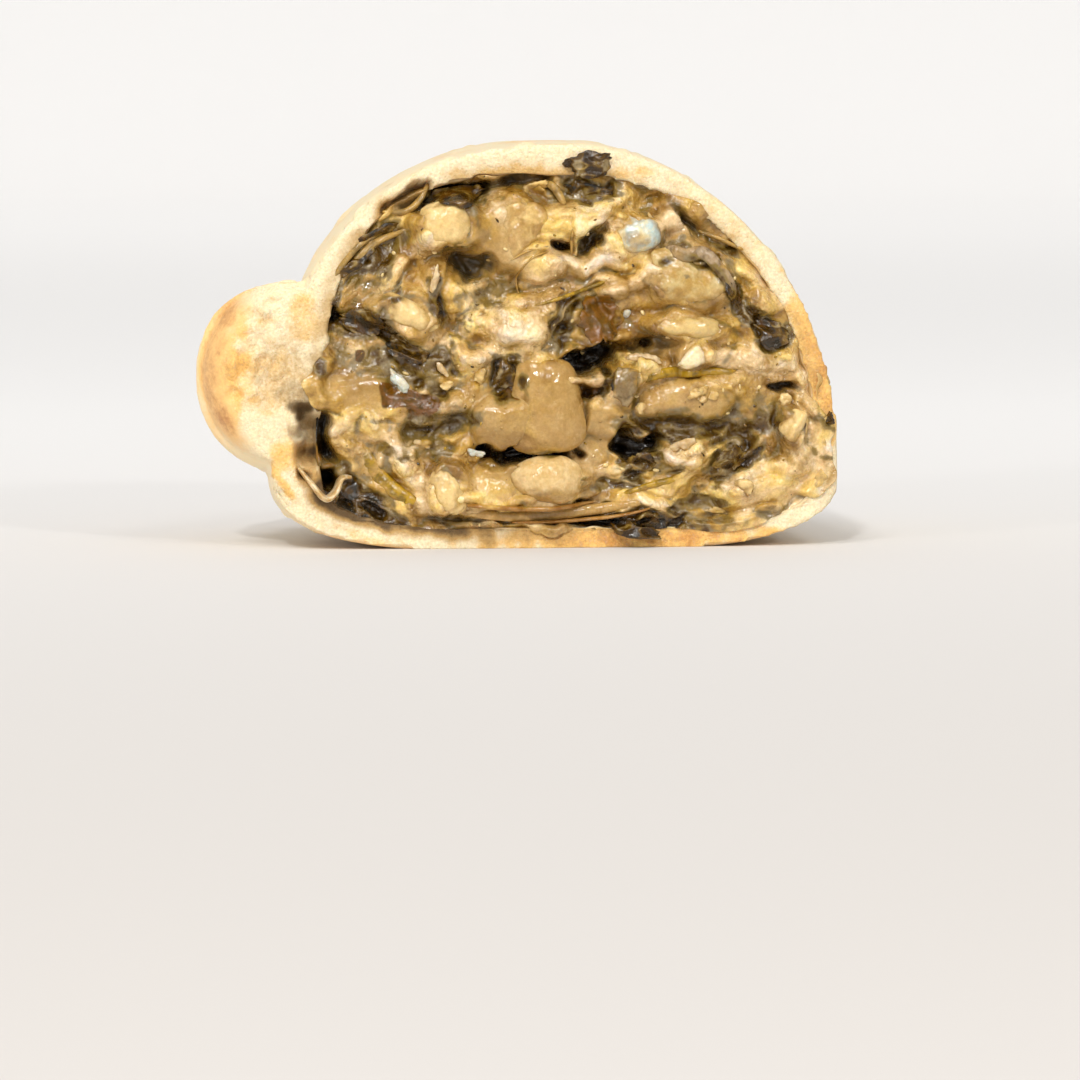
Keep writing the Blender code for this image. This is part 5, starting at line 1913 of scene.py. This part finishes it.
def cove():
    """A round floor that bends up into a low wall, far from the object."""
    shape = bmesh.new()
    turns = np.linspace(0.0, math.pi / 2, 16)
    bend = [(2.6 + 0.5 * math.sin(turn), 0.5 - 0.5 * math.cos(turn)) for turn in turns]
    profile = [(0.0, 0.0), *bend, (3.1, 0.7)]
    corners = [shape.verts.new((x, 0.0, z)) for x, z in profile]
    edges = [shape.edges.new(pair) for pair in zip(corners, corners[1:])]
    way = {"axis": (0, 0, 1), "cent": (0, 0, 0), "angle": 2 * math.pi}
    bmesh.ops.spin(shape, geom=corners + edges, steps=96, use_merge=True, **way)
    bmesh.ops.remove_doubles(shape, verts=shape.verts, dist=1e-5)
    bmesh.ops.recalc_face_normals(shape, faces=shape.faces)
    shape.faces.ensure_lookup_table()
    if min(shape.faces, key=lambda face: face.calc_center_median().xy.length).normal.z < 0:
        bmesh.ops.reverse_faces(shape, faces=shape.faces)
    return new_object("floor", shape)


def add_light(name, kind, place, power, colour=(1, 1, 1), target=(0, CUT_Y * MM, 18 * MM), **settings):
    """A light that shines at the cut face, or at another target."""
    lamp = bpy.data.lights.new(name, kind)
    lamp.energy = power
    lamp.color = colour
    for setting, value in settings.items():
        setattr(lamp, setting, value)
    light = bpy.data.objects.new(name, lamp)
    bpy.context.scene.collection.objects.link(light)
    light.location = place
    light.rotation_mode = "QUATERNION"
    light.rotation_quaternion = (Vector(target) - Vector(place)).to_track_quat("-Z", "Y")


class EMPANADA_OT_stage(Step, bpy.types.Operator):
    """Add the pale floor, the soft light and the camera"""

    bl_idname = "empanada.add_stage"
    bl_label = "Add Stage"

    def execute(self, context):
        scene = context.scene
        floor = cove()
        floor.data.materials.append(floor_material())
        floor.data.shade_smooth()

        world = bpy.data.worlds.new("Studio")
        world.use_nodes = True
        background = world.node_tree.nodes["Background"]
        background.inputs["Color"].default_value = (1.0, 0.99, 0.98, 1.0)
        sky = Board(world.node_tree)
        up = sky.add("SeparateXYZ", {0: sky.add("TexCoord").outputs["Generated"]}).outputs[2]
        sky.feed(background.inputs["Strength"], sky.fade(up, 0.0, 0.85, 0.14, 0.7))
        scene.world = world
        add_light("key", "SUN", (-0.45, -0.8, 1.2), 0.82, (1.0, 0.985, 0.96), angle=math.radians(15))
        add_light("backdrop", "AREA", (0.0, 1.5, 1.5), 3.8, shape="DISK", size=1.2, target=(0.0, 3.0, 0.3))
        add_light("glint", "AREA", (-0.25, -0.9, 0.6), 3.7, (1.0, 0.99, 0.97), shape="DISK", size=0.055)
        add_light("glint_right", "AREA", (0.4, -0.85, 0.4), 1.7, shape="DISK", size=0.07)
        add_light("glint_left", "AREA", (-0.65, -0.7, 0.22), 1.5, shape="DISK", size=0.07)
        add_light("softbox", "AREA", (0.3, -0.7, 0.75), 0.9, (1.0, 0.98, 0.96), shape="DISK", size=0.2)
        scene.view_settings.view_transform = "Standard"
        scene.view_settings.look = "None"

        data = bpy.data.cameras.new("camera")
        camera = bpy.data.objects.new("camera", data)
        scene.collection.objects.link(camera)
        data.sensor_width = 36.0
        data.lens = data.sensor_width * sizes().camera_distance / sizes().frame_width
        data.clip_start = 0.01
        data.clip_end = 20.0
        level = math.cos(CAMERA_ELEVATION)
        right, ahead = math.sin(CAMERA_AZIMUTH) * level, math.cos(CAMERA_AZIMUTH) * level
        back = Vector((right, -ahead, math.sin(CAMERA_ELEVATION)))
        camera.location = Vector(CAMERA_AIM) * MM + back * sizes().camera_distance
        camera.rotation_mode = "QUATERNION"
        camera.rotation_quaternion = (-back).to_track_quat("-Z", "Y")
        scene.camera = camera
        return {"FINISHED"}


class EMPANADA_PT_panel(bpy.types.Panel):
    """Sizes, colours and pieces of the empanada half"""

    bl_label = "Empanada Half"
    bl_idname = "EMPANADA_PT_panel"
    bl_space_type = "VIEW_3D"
    bl_region_type = "UI"
    bl_category = "Empanada"

    def draw(self, context):
        for group in (context.scene.empanada_sizes, context.scene.empanada_colours):
            for name in group.__annotations__:
                self.layout.prop(group, name)
        for operator in OPERATORS:
            self.layout.operator(operator.bl_idname)


OPERATORS = (
    EMPANADA_OT_dough,
    EMPANADA_OT_filling,
    EMPANADA_OT_large_pieces,
    EMPANADA_OT_leaves,
    EMPANADA_OT_strands,
    EMPANADA_OT_crumbs,
    EMPANADA_OT_stage,
)
CLASSES = (EmpanadaSizes, EmpanadaColours, *OPERATORS, EMPANADA_PT_panel)


def register():
    for item in CLASSES:
        bpy.utils.register_class(item)
    bpy.types.Scene.empanada_sizes = PointerProperty(type=EmpanadaSizes)
    bpy.types.Scene.empanada_colours = PointerProperty(type=EmpanadaColours)


def unregister():
    del bpy.types.Scene.empanada_colours
    del bpy.types.Scene.empanada_sizes
    for item in reversed(CLASSES):
        bpy.utils.unregister_class(item)


def main():
    register()
    bpy.ops.empanada.add_dough()
    bpy.ops.empanada.add_filling()
    bpy.ops.empanada.add_large_pieces()
    bpy.ops.empanada.add_leaves()
    bpy.ops.empanada.add_strands()
    bpy.ops.empanada.add_crumbs()
    bpy.ops.empanada.add_stage()


if __name__ == "__main__":
    main()
